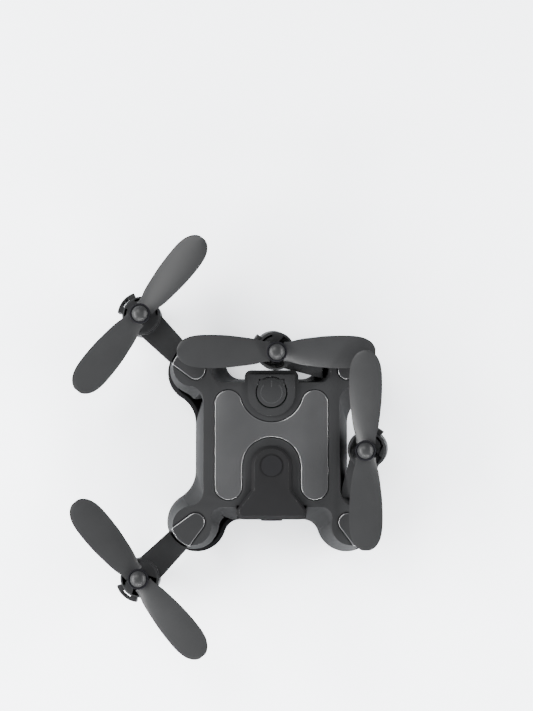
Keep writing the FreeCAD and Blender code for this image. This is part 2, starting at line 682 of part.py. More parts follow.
def nose_outline(name, level, inset="0", front="dims.nose_front"):
    """The camera housing from above: round at the rear, then straight, then flared to the front."""
    into = value(inset)
    radius = size("nose_radius") - into
    centre_y = -size("nose_centre")
    straight = -size("nose_straight")
    half = size("nose_half_width") - into
    shoulder = -size("nose_shoulder")
    face = -value(front) + into
    corner = size("nose_corner") - into
    ring = [((radius, centre_y), (radius, straight)), ((radius, straight), (half, shoulder)),
            ((half, shoulder), (half, face + corner)), ((half - corner, face), (corner - half, face)),
            ((-half, face + corner), (-half, shoulder)), ((-half, shoulder), (-radius, straight)),
            ((-radius, straight), (-radius, centre_y))]
    sketch = doc.addObject("Sketcher::SketchObject", name)
    sketch.setExpression("Placement.Base.z", level)
    circle = Part.Circle(Vec(0, centre_y, 0), UP, radius)
    crown = sketch.addGeometry(Part.ArcOfCircle(circle, 0, math.pi), False)
    lines = []
    for start, end in ring:
        segment = Part.LineSegment(Vec(start[0], start[1], 0), Vec(end[0], end[1], 0))
        lines.append(sketch.addGeometry(segment, False))
    round_left = Part.Circle(Vec(half - corner, face + corner, 0), UP, corner)
    round_right = Part.Circle(Vec(corner - half, face + corner, 0), UP, corner)
    left = sketch.addGeometry(Part.ArcOfCircle(round_left, 1.5 * math.pi, 2 * math.pi), False)
    right = sketch.addGeometry(Part.ArcOfCircle(round_right, math.pi, 1.5 * math.pi), False)
    for first, second in ((0, 1), (1, 2), (4, 5), (5, 6)):
        sketch.addConstraint(Sketcher.Constraint("Coincident", lines[first], 2, lines[second], 1))
    for first, leave, second, enter in ((crown, 1, lines[0], 1), (lines[6], 2, crown, 2),
                                        (lines[2], 2, left, 2), (left, 1, lines[3], 1),
                                        (lines[3], 2, right, 2), (right, 1, lines[4], 1)):
        sketch.addConstraint(Sketcher.Constraint("Tangent", first, leave, second, enter))
    for index in (0, 2, 4, 6):
        sketch.addConstraint(Sketcher.Constraint("Vertical", lines[index]))
    sketch.addConstraint(Sketcher.Constraint("Horizontal", lines[3]))
    sketch.addConstraint(Sketcher.Constraint("PointOnObject", crown, 3, -2))
    add_rule(sketch, Sketcher.Constraint("Radius", crown, radius), "dims.nose_radius - (%s)" % inset)
    add_rule(sketch, Sketcher.Constraint("DistanceY", -1, 1, crown, 3, centre_y), "-dims.nose_centre")
    for arc in (left, right):
        add_rule(sketch, Sketcher.Constraint("Radius", arc, corner), "dims.nose_corner - (%s)" % inset)
    for index, number, expression in ((1, straight, "-dims.nose_straight"),
                                      (2, shoulder, "-dims.nose_shoulder"),
                                      (3, face, "-%s + (%s)" % (front, inset)),
                                      (5, shoulder, "-dims.nose_shoulder"),
                                      (6, straight, "-dims.nose_straight")):
        add_rule(sketch, Sketcher.Constraint("DistanceY", -1, 1, lines[index], 1, number), expression)
    add_rule(sketch, Sketcher.Constraint("DistanceX", -1, 1, lines[2], 1, half),
             "dims.nose_half_width - (%s)" % inset)
    add_rule(sketch, Sketcher.Constraint("DistanceX", -1, 1, lines[4], 1, -half),
             "-dims.nose_half_width + (%s)" % inset)
    return sketch


def screw_places():
    return [(sx, sy) for sx in (-1, 1) for sy in (-1, 1)]


def signed(sign, expression):
    return "%d * (%s)" % (sign, expression)


def make_top_shell():
    hull = upper_hull()
    bump = rounded_box("bump", "dims.bump_half_width", "dims.dome_centre", "dims.bump_rear",
                       "dims.bump_base", "dims.plate_height", "dims.bump_corner")
    ring = cylinder("dome_ring", "dims.dome_radius", "dims.dome_rise + 1", "0", "dims.dome_centre",
                    "dims.plate_height - 1")
    ring_tail = box("dome_tail", "2 * dims.dome_radius", "dims.bump_rear - dims.dome_centre - 1.2",
                    "dims.dome_rise + 1", "-dims.dome_radius", "dims.dome_centre",
                    "dims.plate_height - 1")
    dome_raw = fuse("dome_raw", [ring, ring_tail])
    dome_limit = box("dome_limit", "4 * dims.dome_radius", "4 * dims.dome_radius", "4",
                     "-2 * dims.dome_radius", "dims.bump_rear - 1.2 - 4 * dims.dome_radius",
                     "dims.plate_height - 2")
    dome = common("dome", dome_raw, dome_limit)
    hollow = upper_hollow()
    bump_hollow = box("bump_hollow", "2 * (dims.bump_half_width - dims.shell_wall)",
                      "dims.bump_rear - dims.shell_wall - dims.dome_centre",
                      "dims.plate_height - 2 * dims.shell_wall - dims.bump_base - dims.shell_wall",
                      "-dims.bump_half_width + dims.shell_wall", "dims.dome_centre",
                      "dims.bump_base + dims.shell_wall")
    skin = cut("upper_skin", fuse("upper_block", [hull, bump, dome]), [hollow, bump_hollow])
    bosses = []
    for number, (sx, sy) in enumerate(screw_places()):
        bosses.append(cylinder("upper_boss_%d" % number, "dims.boss_radius",
                               "dims.plate_height - dims.shell_wall - dims.rim_height - 0.1",
                               signed(sx, "dims.screw_x"), signed(sy, "dims.screw_y"),
                               "dims.rim_height + 0.1"))
    for _, corner, _ in CORNERS:
        post = hinge_cylinder("upper_post_%d" % corner, "dims.hinge_post_radius",
                              "dims.plate_height - dims.hinge_height - dims.shell_wall", 0.0)
        post.Placement = corner_place(corner).multiply(post.Placement)
        bosses.append(post)
    solid = fuse("upper_solid", [skin] + bosses)
    tools = []
    for number, (sx, sy) in enumerate(screw_places()):
        tools.append(cylinder("upper_screw_hole_%d" % number, "dims.screw_radius + dims.seat_gap",
                              "dims.screw_bite", signed(sx, "dims.screw_x"),
                              signed(sy, "dims.screw_y"), "dims.rim_height"))
    for _, corner, _ in CORNERS:
        tools.append(arm_slot(corner))
        tools.append(pin_bore(corner, "upper"))
        recess = prism("cover_recess_%d" % corner,
                       cover_outline("cover_recess_outline_%d" % corner,
                                     "dims.plate_height - dims.cover_depth", "dims.groove"),
                       "dims.cover_depth + 1")
        recess.Placement = corner_place(corner)
        tools.append(recess)
    tools.append(prism("panel_recess", panel_outline("panel_recess_outline",
                       "dims.plate_height - dims.panel_depth", "dims.groove"), "2"))
    tools.append(prism("nose_recess", nose_outline("nose_recess_outline",
                       "dims.plate_height - dims.nose_depth", "0 - dims.seat_gap"), "3"))
    tools.append(box("nose_gate", "2 * (dims.nose_half_width + dims.seat_gap)", "10",
                     "dims.plate_height - dims.nose_base + 1",
                     "-dims.nose_half_width - dims.seat_gap", "-dims.nose_back - 10",
                     "dims.nose_base - dims.seat_gap"))
    tools.append(turned(cylinder("lens_gate", "dims.lens_radius + dims.slot_gap", "10", "0",
                                 "-dims.nose_back + 5", "dims.lens_height"), Vec(1, 0, 0), 90))
    tools.append(button_shape("button_hole", "dims.button_gap", "dims.run_gap",
                              "dims.plate_height - 6", "9"))
    tools.append(box("port_hole", "2 * (dims.port_half_width + dims.seat_gap)", "12",
                     "dims.port_thickness + 2 * dims.seat_gap",
                     "-dims.port_half_width - dims.seat_gap", "dims.dome_centre + 1",
                     "dims.board_height + dims.board_thickness - dims.seat_gap"))
    return keep(cut("upper_shell_solid", solid, tools), "top_shell")


def rounded_box(name, half_width, near, far, low, high, corner):
    """An upright block whose two far vertical edges are round."""
    plain = box(name + "_plain", "2 * %s" % half_width, "%s - %s" % (far, near),
                "%s - %s" % (high, low), "-" + half_width, near, low)
    doc.recompute()
    fillet = doc.addObject("Part::Fillet", name)
    fillet.Base = plain
    edges = []
    for number, edge in enumerate(plain.Shape.Edges, start=1):
        box_of = edge.BoundBox
        if box_of.ZLength > 1 and abs(box_of.YMax - plain.Shape.BoundBox.YMax) < 0.01:
            edges.append((number, value(corner), value(corner)))
    fillet.Edges = edges
    return fillet


def button_shape(name, grow, rear_grow, low, height):
    """The power button from above: a disc with a straight root to its rear."""
    disc = cylinder(name + "_disc", "dims.button_radius + " + grow, height, "0",
                    "dims.dome_centre", low)
    root = box(name + "_root", "2 * (dims.button_root_half + %s)" % grow,
               "dims.button_root - dims.dome_centre + " + rear_grow, height,
               "-dims.button_root_half - " + grow, "dims.dome_centre", low)
    return fuse(name, [disc, root])


def make_bottom_shell():
    belly = body_outline("lower_belly", "0", *BELLY)
    rim = body_outline("lower_rim", "dims.rim_height", *RIM)
    hull = loft("lower_hull", [belly, rim])
    hollow_belly = body_outline("lower_hollow_belly", "dims.shell_wall", *BELLY, inset=WALL)
    hollow_rim = body_outline("lower_hollow_rim", "dims.rim_height + 0.01", *RIM, inset=WALL)
    hollow = loft("lower_hollow", [hollow_belly, hollow_rim])
    skin = cut("lower_skin", hull, [hollow])
    parts = [skin]
    for number, (sx, sy) in enumerate(screw_places()):
        parts.append(cylinder("lower_boss_%d" % number, "dims.boss_radius",
                              "dims.rim_height - dims.shell_wall / 2", signed(sx, "dims.screw_x"),
                              signed(sy, "dims.screw_y"), "dims.shell_wall / 2"))
    for _, corner, _ in CORNERS:
        post = hinge_cylinder("hinge_post_%d" % corner, "dims.hinge_post_radius",
                              "dims.hinge_height - dims.tongue_height / 2 - dims.slot_gap"
                              " - dims.shell_wall", size("shell_wall") - size("hinge_height"))
        post.Placement = corner_place(corner).multiply(post.Placement)
        parts.append(post)
    solid = fuse("lower_solid", parts)
    tools = []
    for number, (sx, sy) in enumerate(screw_places()):
        x = signed(sx, "dims.screw_x")
        y = signed(sy, "dims.screw_y")
        tools.append(cylinder("lower_screw_hole_%d" % number, "dims.screw_radius + dims.seat_gap",
                              "dims.rim_height + 2", x, y, "-1"))
        tools.append(cylinder("lower_screw_sink_%d" % number, "dims.screw_head + dims.seat_gap",
                              "dims.screw_sink + dims.screw_head_height + 1", x, y, "-1"))
    for _, corner, _ in CORNERS:
        tools.append(pin_bore(corner, "lower"))
    tools.append(box("hatch_recess", "dims.hatch_width + 2 * dims.groove",
                     "dims.hatch_length + 2 * dims.groove", "dims.hatch_thickness + 1",
                     "-dims.hatch_width / 2 - dims.groove", "-dims.hatch_length / 2 - dims.groove",
                     "-1"))
    tools.append(box("hatch_opening", "dims.hatch_width - 2 * dims.hatch_ledge",
                     "dims.hatch_length - 2 * dims.hatch_ledge", "4",
                     "-dims.hatch_width / 2 + dims.hatch_ledge",
                     "-dims.hatch_length / 2 + dims.hatch_ledge", "-1"))
    return keep(cut("lower_shell_solid", solid, tools), "bottom_shell")


# ---------------------------------------------------------------------------------------------
# Pieces that the shells carry.

def make_top_panel():
    face = panel_outline("panel_face_outline", "dims.plate_height - dims.panel_depth")
    return keep(prism("panel_plate", face, "dims.panel_depth + dims.panel_rise"), "top_panel")


def make_nose():
    low = nose_outline("nose_low_outline", "dims.plate_height - dims.nose_depth")
    edge = nose_outline("nose_edge_outline", "dims.plate_height + dims.nose_rise - dims.nose_bevel")
    top = nose_outline("nose_top_outline", "dims.plate_height + dims.nose_rise", "dims.nose_bevel")
    slab = prism("nose_slab", low, "dims.nose_depth + dims.nose_rise - dims.nose_bevel")
    lid = loft("nose_lid", [edge, top])
    base = nose_outline("nose_base_outline", "dims.nose_base")
    chin = nose_outline("nose_chin_outline", "dims.nose_base", "0", "dims.nose_chin")
    ahead = box("nose_ahead", "4 * dims.nose_half_width", "2 * dims.nose_back", "4 * dims.nose_base",
                "-2 * dims.nose_half_width", "-3 * dims.nose_back", "0")
    column = prism("nose_column", base, "dims.plate_height - dims.nose_base")
    jaw = prism("nose_jaw", chin, "dims.nose_chin_top - dims.nose_base")
    block = common("nose_block", fuse("nose_face", [column, jaw]), ahead)
    solid = fuse("nose_solid", [slab, lid, block])
    bore = turned(cylinder("lens_bore", "dims.lens_radius + dims.seat_gap", "30", "0",
                           "-dims.nose_back + 3", "dims.lens_height"), Vec(1, 0, 0), 90)
    seat = cylinder("lamp_seat", "dims.disc_radius + dims.seat_gap", "4", "0", "-dims.nose_centre",
                    "dims.plate_height + dims.nose_rise - dims.disc_depth")
    return keep(cut("nose_cut", solid, [bore, seat]), "nose_housing")


def make_nose_lamp():
    disc = cylinder("lamp_disc", "dims.disc_radius", "dims.disc_depth + dims.disc_rise", "0",
                    "-dims.nose_centre", "dims.plate_height + dims.nose_rise - dims.disc_depth")
    return keep(disc, "status_lamp")


def make_camera():
    barrel_start = "-dims.nose_chin - dims.lens_reach + dims.lens_length"
    tube = turned(cylinder("lens_tube", "dims.lens_radius", "dims.lens_length", "0", barrel_start,
                           "dims.lens_height"), Vec(1, 0, 0), 90)
    well = turned(cylinder("lens_well", "dims.glass_radius + dims.seat_gap", "2", "0",
                           "-dims.nose_chin - dims.lens_reach + dims.glass_thickness + dims.glass_setback",
                           "dims.lens_height"), Vec(1, 0, 0), 90)
    keep(cut("lens_barrel_solid", tube, [well]), "lens_barrel")
    glass = turned(cylinder("glass_disc", "dims.glass_radius", "dims.glass_thickness", "0",
                            "-dims.nose_chin - dims.lens_reach + dims.glass_thickness + dims.glass_setback",
                            "dims.lens_height"), Vec(1, 0, 0), 90)
    keep(glass, "lens_glass")
    board = box("camera_board_plate", "dims.camera_board_width", "dims.camera_board_thickness",
                "dims.camera_board_height", "-dims.camera_board_width / 2",
                barrel_start + " + dims.seat_gap",
                "dims.board_height + dims.board_thickness + 4 * dims.seat_gap")
    keep(board, "camera_board")
    ribbon = box("camera_ribbon_strip", "dims.ribbon_width", "dims.ribbon_length",
                 "dims.ribbon_thickness", "-dims.ribbon_width / 2",
                 barrel_start + " + dims.camera_board_thickness + 2 * dims.seat_gap",
                 "dims.board_height + dims.board_thickness + dims.seat_gap")
    keep(ribbon, "camera_ribbon")


def make_power_button():
    raw = button_shape("button_body", "0", "0", "dims.plate_height + dims.dome_rise"
                       " - dims.button_thickness", "dims.button_thickness")
    keep(raw, "power_button")
    base = "dims.board_height + dims.board_thickness"
    front = "dims.dome_centre - dims.switch_reach"
    post = box("switch_post", "dims.switch_foot", "dims.switch_foot",
               "dims.switch_height - dims.switch_body - (%s)" % base, "-dims.switch_foot / 2",
               front, base + " + dims.seat_gap")
    housing = box("switch_housing", "dims.switch_width", "dims.switch_width", "dims.switch_body",
                  "-dims.switch_width / 2", front, "dims.switch_height - dims.switch_body")
    stem = cylinder("switch_stem_post", "dims.switch_stem_radius", "dims.switch_stem", "0",
                    front + " + dims.switch_width / 2", "dims.switch_height")
    keep(fuse("switch_solid", [post, housing, stem]), "power_switch")


def make_electronics():
    board = box("board_plate", "dims.board_width", "dims.board_length", "dims.board_thickness",
                "-dims.board_width / 2", "dims.board_shift - dims.board_length / 2",
                "dims.board_height")
    keep(board, "main_board")
    top = "dims.board_height + dims.board_thickness + dims.seat_gap"
    chips = (
        ("flight_chip", "dims.chip_side", "dims.chip_side", "-8.5", "-4"),
        ("radio_chip", "0.75 * dims.chip_side", "0.75 * dims.chip_side", "3.5", "-3"),
        ("gyro_chip", "0.5 * dims.chip_side", "0.5 * dims.chip_side", "-1.5", "3.5"),
        ("crystal", "0.53 * dims.chip_side", "0.27 * dims.chip_side", "4", "4.5"),
    )
    for label, length, width, x, y in chips:
        keep(box(label + "_block", length, width, "dims.chip_height", x, y, top), label)
    cell = box("cell_block", "dims.cell_width", "dims.cell_length", "dims.cell_height",
               "-dims.cell_width / 2", "-dims.cell_length / 2", "dims.cell_base")
    keep(cell, "battery_cell")
    hatch = box("hatch_plate", "dims.hatch_width", "dims.hatch_length", "dims.hatch_thickness",
                "-dims.hatch_width / 2", "-dims.hatch_length / 2", "0")
    keep(hatch, "battery_cover")
    shell = box("port_shell", "2 * dims.port_half_width",
                "dims.bump_rear - dims.port_inset - dims.dome_centre - dims.port_seat",
                "dims.port_thickness", "-dims.port_half_width", "dims.dome_centre + dims.port_seat",
                "dims.board_height + dims.board_thickness")
    mouth = box("port_mouth", "2 * (dims.port_half_width - dims.port_lip)", "6",
                "dims.port_thickness - 2 * dims.port_lip", "-dims.port_half_width + dims.port_lip",
                "dims.bump_rear - 4", "dims.board_height + dims.board_thickness + dims.port_lip")
    keep(cut("port_solid", shell, [mouth]), "charging_port")


def make_screws():
    for number, (sx, sy) in enumerate(screw_places()):
        x = signed(sx, "dims.screw_x")
        y = signed(sy, "dims.screw_y")
        head = cylinder("screw_cap_%d" % number, "dims.screw_head", "dims.screw_head_height", x, y,
                        "dims.screw_sink")
        shank = cylinder("screw_shank_%d" % number, "dims.screw_radius",
                         "dims.rim_height + dims.screw_bite - dims.screw_sink - 0.3", x, y,
                         "dims.screw_sink")
        slot = box("screw_drive_%d" % number, "dims.drive_length", "dims.drive_width",
                   "2 * dims.drive_depth", x + " - dims.drive_length / 2",
                   y + " - dims.drive_width / 2", "dims.screw_sink - dims.drive_depth")
        keep(cut("screw_solid_%d" % number, fuse("screw_body_%d" % number, [head, shank]), [slot]),
             "shell_screw_%d" % (number + 1))


# ---------------------------------------------------------------------------------------------
# The arm and what it carries, in the arm's own frame: hinge axis over the origin, X outboard.

def wedge(name, root_half, tip_half, low, high, start, end):
    """A beam along X whose half width changes evenly from start to end."""
    obj = doc.addObject("Part::Wedge", name)
    bind(obj, Xmin="-1 * " + root_half, Xmax=root_half, X2min="-1 * " + tip_half, X2max=tip_half,
         Zmin=low, Zmax=high, Z2min=low, Z2max=high, Ymin=start, Ymax=end)
    obj.Placement = FreeCAD.Placement(Vec(0, 0, 0), FreeCAD.Rotation(UP, -90))
    return obj


def vent_slots(name, low, height):
    """Four arc slots round the motor axis, two each side of the line of the arm."""
    vents = []
    outer_radius = "dims.vent_radius + dims.vent_width / 2"
    inner_radius = "dims.vent_radius - dims.vent_width / 2"
    spans = ((size("vent_start"), "dims.vent_sweep"), (size("vent_far_start"), "dims.vent_far_sweep"))
    for number, (start, sweep) in enumerate(spans):
        for side, first in (("left", start), ("right", -start - value(sweep))):
            stem = "%s_vent_%s_%d" % (name, side, number)
            outer = cylinder(stem + "_outer", outer_radius, height, "dims.arm_length", "0", low, sweep)
            turned(outer, UP, first)
            inner = cylinder(stem + "_inner", inner_radius, height, "dims.arm_length", "0", low)
            vents.append(cut(stem, outer, [inner]))
    return vents


def make_arm(stem, corner, folded):
    place = arm_place(corner, folded)
    low = "dims.arm_base"
    top = "dims.pod_base + dims.pod_floor + dims.motor_length"
    half_tongue = size("tongue_height") / 2
    beam = wedge(stem + "_beam_raw", "dims.arm_root_half", "dims.arm_tip_half", low, "dims.arm_top",
                 "0", "dims.arm_length")
    beam = cut(stem + "_beam", beam, [pod_core(stem + "_core", "dims.root_gap")])
    tongue = doc.addObject("Part::Box", stem + "_tongue")
    bind(tongue, Length="dims.tongue_reach", Width="2 * dims.arm_root_half",
         Height="dims.tongue_height")
    in_lean(tongue, -half_tongue)
    side = FreeCAD.Placement(Vec(0, -size("arm_root_half"), 0), FreeCAD.Rotation())
    tongue.Placement = tongue.Placement.multiply(side)
    knuckle = hinge_cylinder(stem + "_knuckle", "dims.knuckle_radius", "dims.tongue_height",
                             -half_tongue)
    drum = cylinder(stem + "_drum", "dims.pod_radius", top + " - (%s)" % low, "dims.arm_length",
                    "0", low)
    boot = cone(stem + "_boot", "dims.pod_foot_radius", "dims.pod_radius",
                "%s - dims.pod_base" % low, "dims.arm_length", "0", "dims.pod_base")
    bow = cylinder(stem + "_bow", "dims.guard_radius", "dims.guard_drop", "dims.arm_length", "0",
                   top + " - dims.guard_drop", "2 * dims.guard_half_angle")
    turned(bow, UP, size("guard_turn") - size("guard_half_angle"))
    slot_outer = cylinder(stem + "_bow_slot_outer", "dims.guard_slot", "dims.guard_drop + 2",
                          "dims.arm_length", "0", top + " - dims.guard_drop - 1",
                          "2 * dims.guard_slot_half_angle")
    turned(slot_outer, UP, size("guard_turn") - size("guard_slot_half_angle"))
    slot_inner = cylinder(stem + "_bow_slot_inner", "dims.pod_radius", "dims.guard_drop + 4",
                          "dims.arm_length", "0", top + " - dims.guard_drop - 2")
    slot = cut(stem + "_bow_slot", slot_outer, [slot_inner])
    solid = fuse(stem + "_solid", [beam, tongue, knuckle, drum, boot, bow])
    bore = cylinder(stem + "_motor_bore", "dims.motor_radius + dims.motor_gap",
                    "dims.motor_length + 2", "dims.arm_length", "0",
                    "dims.pod_base + dims.pod_floor")
    pin_hole = hinge_cylinder(stem + "_pin_hole", "dims.pin_radius + dims.run_gap",
                              "2 * dims.tongue_height", -size("tongue_height"))
    channel = box(stem + "_channel", "dims.channel_length",
                  "2 * (dims.arm_root_half - dims.arm_wall)",
                  "dims.arm_top - dims.arm_base - dims.arm_wall + 1", "dims.channel_start",
                  "-dims.arm_root_half + dims.arm_wall", low + " - 1")
    vents = vent_slots(stem + "_housing", top + " - dims.vent_depth", "dims.vent_depth + 1")
    arm = cut(stem + "_arm_solid", solid, [slot, bore, pin_hole, channel] + vents)
    keep(arm, "arm_" + stem, place)
    cover = box(stem + "_cover_plate", "dims.channel_length - 2 * dims.seat_gap",
                "2 * (dims.arm_root_half - dims.arm_wall - dims.seat_gap)",
                "dims.arm_cover_thickness", "dims.channel_start + dims.seat_gap",
                "-dims.arm_root_half + dims.arm_wall + dims.seat_gap", low)
    keep(fuse(stem + "_cover_solid", [cover, leads_rib(stem, low)]), "arm_cover_" + stem, place)
    sole = cone(stem + "_foot_sole", "dims.foot_radius - dims.foot_height / 2", "dims.foot_radius",
                "dims.foot_height / 2", "dims.arm_length", "0", "dims.pod_base - dims.foot_height")
    pad = cylinder(stem + "_foot_pad", "dims.foot_radius", "dims.foot_height / 2",
                   "dims.arm_length", "0", "dims.pod_base - dims.foot_height / 2")
    keep(fuse(stem + "_foot_solid", [sole, pad]), "foot_" + stem, place)


def leads_rib(stem, low):
    """A low rib on the cover that holds the motor leads down."""
    return box(stem + "_cover_rib", "dims.channel_length / 2", "0.8", "0.8",
               "dims.channel_start + dims.channel_length / 4", "-0.4",
               low + " + dims.arm_cover_thickness")


def make_motor(stem, corner, folded):
    place = arm_place(corner, folded)
    base = "dims.pod_base + dims.pod_floor"
    top = base + " + dims.motor_length"
    can = cylinder(stem + "_can", "dims.motor_radius", "dims.motor_length", "dims.arm_length", "0",
                   base)
    bearing = cylinder(stem + "_bearing", "dims.shaft_radius + dims.run_gap",
                       "dims.shaft_depth + 1.2", "dims.arm_length", "0",
                       top + " - dims.shaft_depth - 0.2")
    core = cylinder(stem + "_core", "dims.motor_core_radius", "dims.motor_core_length",
                    "dims.arm_length", "0", base + " - 1")
    keep(cut(stem + "_motor_solid", can, [bearing, core]), "motor_" + stem, place)
    disc = cylinder(stem + "_cap_disc", "dims.cap_radius", "dims.cap_thickness - dims.cap_bevel",
                    "dims.arm_length", "0", top)
    rise = cone(stem + "_cap_bevel", "dims.cap_radius", "dims.cap_radius - dims.cap_bevel",
                "dims.cap_bevel", "dims.arm_length", "0",
                top + " + dims.cap_thickness - dims.cap_bevel")
    eye = cylinder(stem + "_cap_eye", "3 * dims.shaft_radius", "3", "dims.arm_length", "0",
                   top + " - 1")
    tools = [eye] + vent_slots(stem + "_cap", top + " - 1", "3")
    keep(cut(stem + "_cap_solid", fuse(stem + "_cap_body", [disc, rise]), tools),
         "motor_cap_" + stem, place)
    shaft = cylinder(stem + "_shaft", "dims.shaft_radius",
                     "dims.shaft_depth + dims.shaft_rise - 0.2", "dims.arm_length", "0",
                     top + " - dims.shaft_depth")
    tip = cone(stem + "_shaft_tip", "dims.shaft_radius", "dims.shaft_radius - 0.2", "0.2",
               "dims.arm_length", "0", top + " + dims.shaft_rise - 0.2")
    keep(fuse(stem + "_shaft_solid", [shaft, tip]), "motor_shaft_" + stem, place)


def make_hinge(stem, corner):
    place = corner_place(corner)
    pin = hinge_cylinder(stem + "_pin", "dims.pin_radius", "dims.pin_length",
                         size("pin_rise") - size("pin_length") / 2)
    keep(pin, "hinge_pin_" + stem, place.multiply(pin.Placement))
    face = cover_outline(stem + "_cover_face", "dims.plate_height - dims.cover_depth", "0")
    keep(prism(stem + "_cover_prism", face, "dims.cover_depth + dims.cover_rise"),
         "hinge_cover_" + stem, place)


def blade_chord(share):
    """Chord of a blade at a share of its span: widest at six tenths, with a round tip."""
    swell = 0.56 + 0.44 * math.sin(math.pi / 2 * min(share / 0.62, 1.0)) ** 1.2
    tip_start = 0.62
    if share <= tip_start:
        return size("rotor_chord") * swell
    past = (share - tip_start) / (1 - tip_start)
    return size("rotor_chord") * (1 - past ** 3.4) ** 0.5


def blade_section(share, hand):
    """A closed blade section, square to the blade, tilted to its pitch."""
    chord = blade_chord(share)
    thick = size("rotor_thickness") * (1.0 - 0.45 * share)
    pitch = rad(size("rotor_pitch")) * (1.5 - share)
    station = size("rotor_radius") * share
    lead = Vec(0, -0.5 * chord, 0)
    trail = Vec(0, 0.5 * chord, 0)
    high = Vec(0, -0.08 * chord, 0.62 * thick)
    low = Vec(0, -0.02 * chord, -0.38 * thick)
    turn = FreeCAD.Rotation(Vec(1, 0, 0), math.degrees(pitch) * hand)
    points = [turn.multVec(point) + Vec(station, 0, 0) for point in (lead, high, trail, low)]
    upper = Part.Arc(points[0], points[1], points[2]).toShape()
    under = Part.Arc(points[2], points[3], points[0]).toShape()
    return Part.Wire([upper, under])


def make_propeller(stem, corner, folded, hand, heading_angle):
    """A one-piece two-blade propeller, about its own axis, then set at its rest heading."""
    shares = (0.07, 0.2, 0.35, 0.5, 0.62, 0.74, 0.84, 0.92, 0.97, 0.995)
    blade = Part.makeLoft([blade_section(share, hand) for share in shares], True, False)
    other = blade.copy()
    other.rotate(Vec(0, 0, 0), UP, 180)
    blades = doc.addObject("Part::Feature", stem + "_blades")
    blades.Shape = Part.makeCompound([blade, other])
    hub = cylinder(stem + "_hub", "dims.rotor_hub_radius", "dims.rotor_hub_drop"
                   " + dims.rotor_hub_rise", "0", "0", "-dims.rotor_hub_drop")
    ball_radius = ("(dims.rotor_hub_radius * dims.rotor_hub_radius"
                   " + dims.rotor_dome * dims.rotor_dome) / (2 * dims.rotor_dome)")
    ball = doc.addObject("Part::Sphere", stem + "_dome")
    bind(ball, Radius=ball_radius)
    at(ball, "0", "0", "dims.rotor_hub_rise + dims.rotor_dome - (%s)" % ball_radius)
    column = cylinder(stem + "_dome_limit", "dims.rotor_hub_radius", "2 * dims.rotor_dome", "0",
                      "0", "dims.rotor_hub_rise")
    dome = common(stem + "_dome_cap", ball, column)
    body = fuse(stem + "_rotor_body", [blades, hub, dome])
    eye = cylinder(stem + "_rotor_eye", "dims.shaft_radius", "dims.shaft_top", "0", "0",
                   "-dims.rotor_hub_drop - 1")
    rotor = cut(stem + "_rotor", body, [eye])
    local = heading_angle - (45 + 90 * corner) - (size("fold_angle") if folded else 0.0)
    seat = FreeCAD.Placement(Vec(size("arm_length"), 0, size("rotor_height")),
                             FreeCAD.Rotation(UP, local))
    keep(rotor, "propeller_" + stem, arm_place(corner, folded).multiply(seat))


ROTOR_REST = {
    "rear_left": (1, 0.0),
    "rear_right": (-1, 51.0),
    "front_right": (1, 130.0),
    "front_left": (-1, 90.0),
}

make_top_shell()
make_bottom_shell()
make_top_panel()
make_nose()
make_nose_lamp()
make_camera()
make_power_button()
make_electronics()
make_screws()
for stem, corner, folded in CORNERS:
    hand, heading_angle = ROTOR_REST[stem]
    make_arm(stem, corner, folded)
    make_motor(stem, corner, folded)
    make_hinge(stem, corner)
    make_propeller(stem, corner, folded, hand, heading_angle)

doc.recompute()

faults = []
for obj in doc.Objects:
    if "Invalid" in obj.State or "Error" in obj.State:
        faults.append("%s is %s" % (obj.Name, ", ".join(obj.State)))
for obj in subparts:
    if obj.Shape.isNull() or not obj.Shape.isValid() or obj.Shape.Volume < 0.01:
        faults.append("%s has no sound solid" % obj.Label)
if faults:
    raise RuntimeError("; ".join(faults))
for obj in subparts:
    obj.Shape.exportStep(os.path.join("parts", obj.Label + ".step"))
    print("%-28s %9.2f mm3  solids %d" % (obj.Label, obj.Shape.Volume, len(obj.Shape.Solids)))
print(len(subparts), "sub-parts")
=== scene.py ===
import json
import math

import bpy
from bpy.props import FloatProperty, FloatVectorProperty, PointerProperty
from mathutils import Matrix, Vector


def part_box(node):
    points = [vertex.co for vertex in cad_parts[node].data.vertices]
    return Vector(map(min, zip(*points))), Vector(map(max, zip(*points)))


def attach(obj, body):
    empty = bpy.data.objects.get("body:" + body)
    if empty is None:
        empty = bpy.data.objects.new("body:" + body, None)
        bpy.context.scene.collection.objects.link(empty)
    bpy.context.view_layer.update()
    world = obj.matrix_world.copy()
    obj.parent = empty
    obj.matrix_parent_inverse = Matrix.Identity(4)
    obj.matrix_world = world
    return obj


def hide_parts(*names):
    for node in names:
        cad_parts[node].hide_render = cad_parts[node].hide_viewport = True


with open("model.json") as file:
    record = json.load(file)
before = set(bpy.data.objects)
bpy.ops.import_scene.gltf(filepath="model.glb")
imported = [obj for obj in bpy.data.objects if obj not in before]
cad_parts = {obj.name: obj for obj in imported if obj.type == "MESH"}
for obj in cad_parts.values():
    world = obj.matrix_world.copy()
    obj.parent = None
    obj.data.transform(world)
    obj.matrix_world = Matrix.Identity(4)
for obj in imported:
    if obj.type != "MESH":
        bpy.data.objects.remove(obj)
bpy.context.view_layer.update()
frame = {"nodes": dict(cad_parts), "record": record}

bl_info = {
    "name": "Folding Palm Quadcopter",
    "version": (1, 0, 0),
    "blender": (4, 5, 0),
    "location": "View3D > Sidebar > Quadcopter",
    "description": "Finishes, moulded edges and fine parts of a palm-sized folding quadcopter",
    "category": "Object",
}

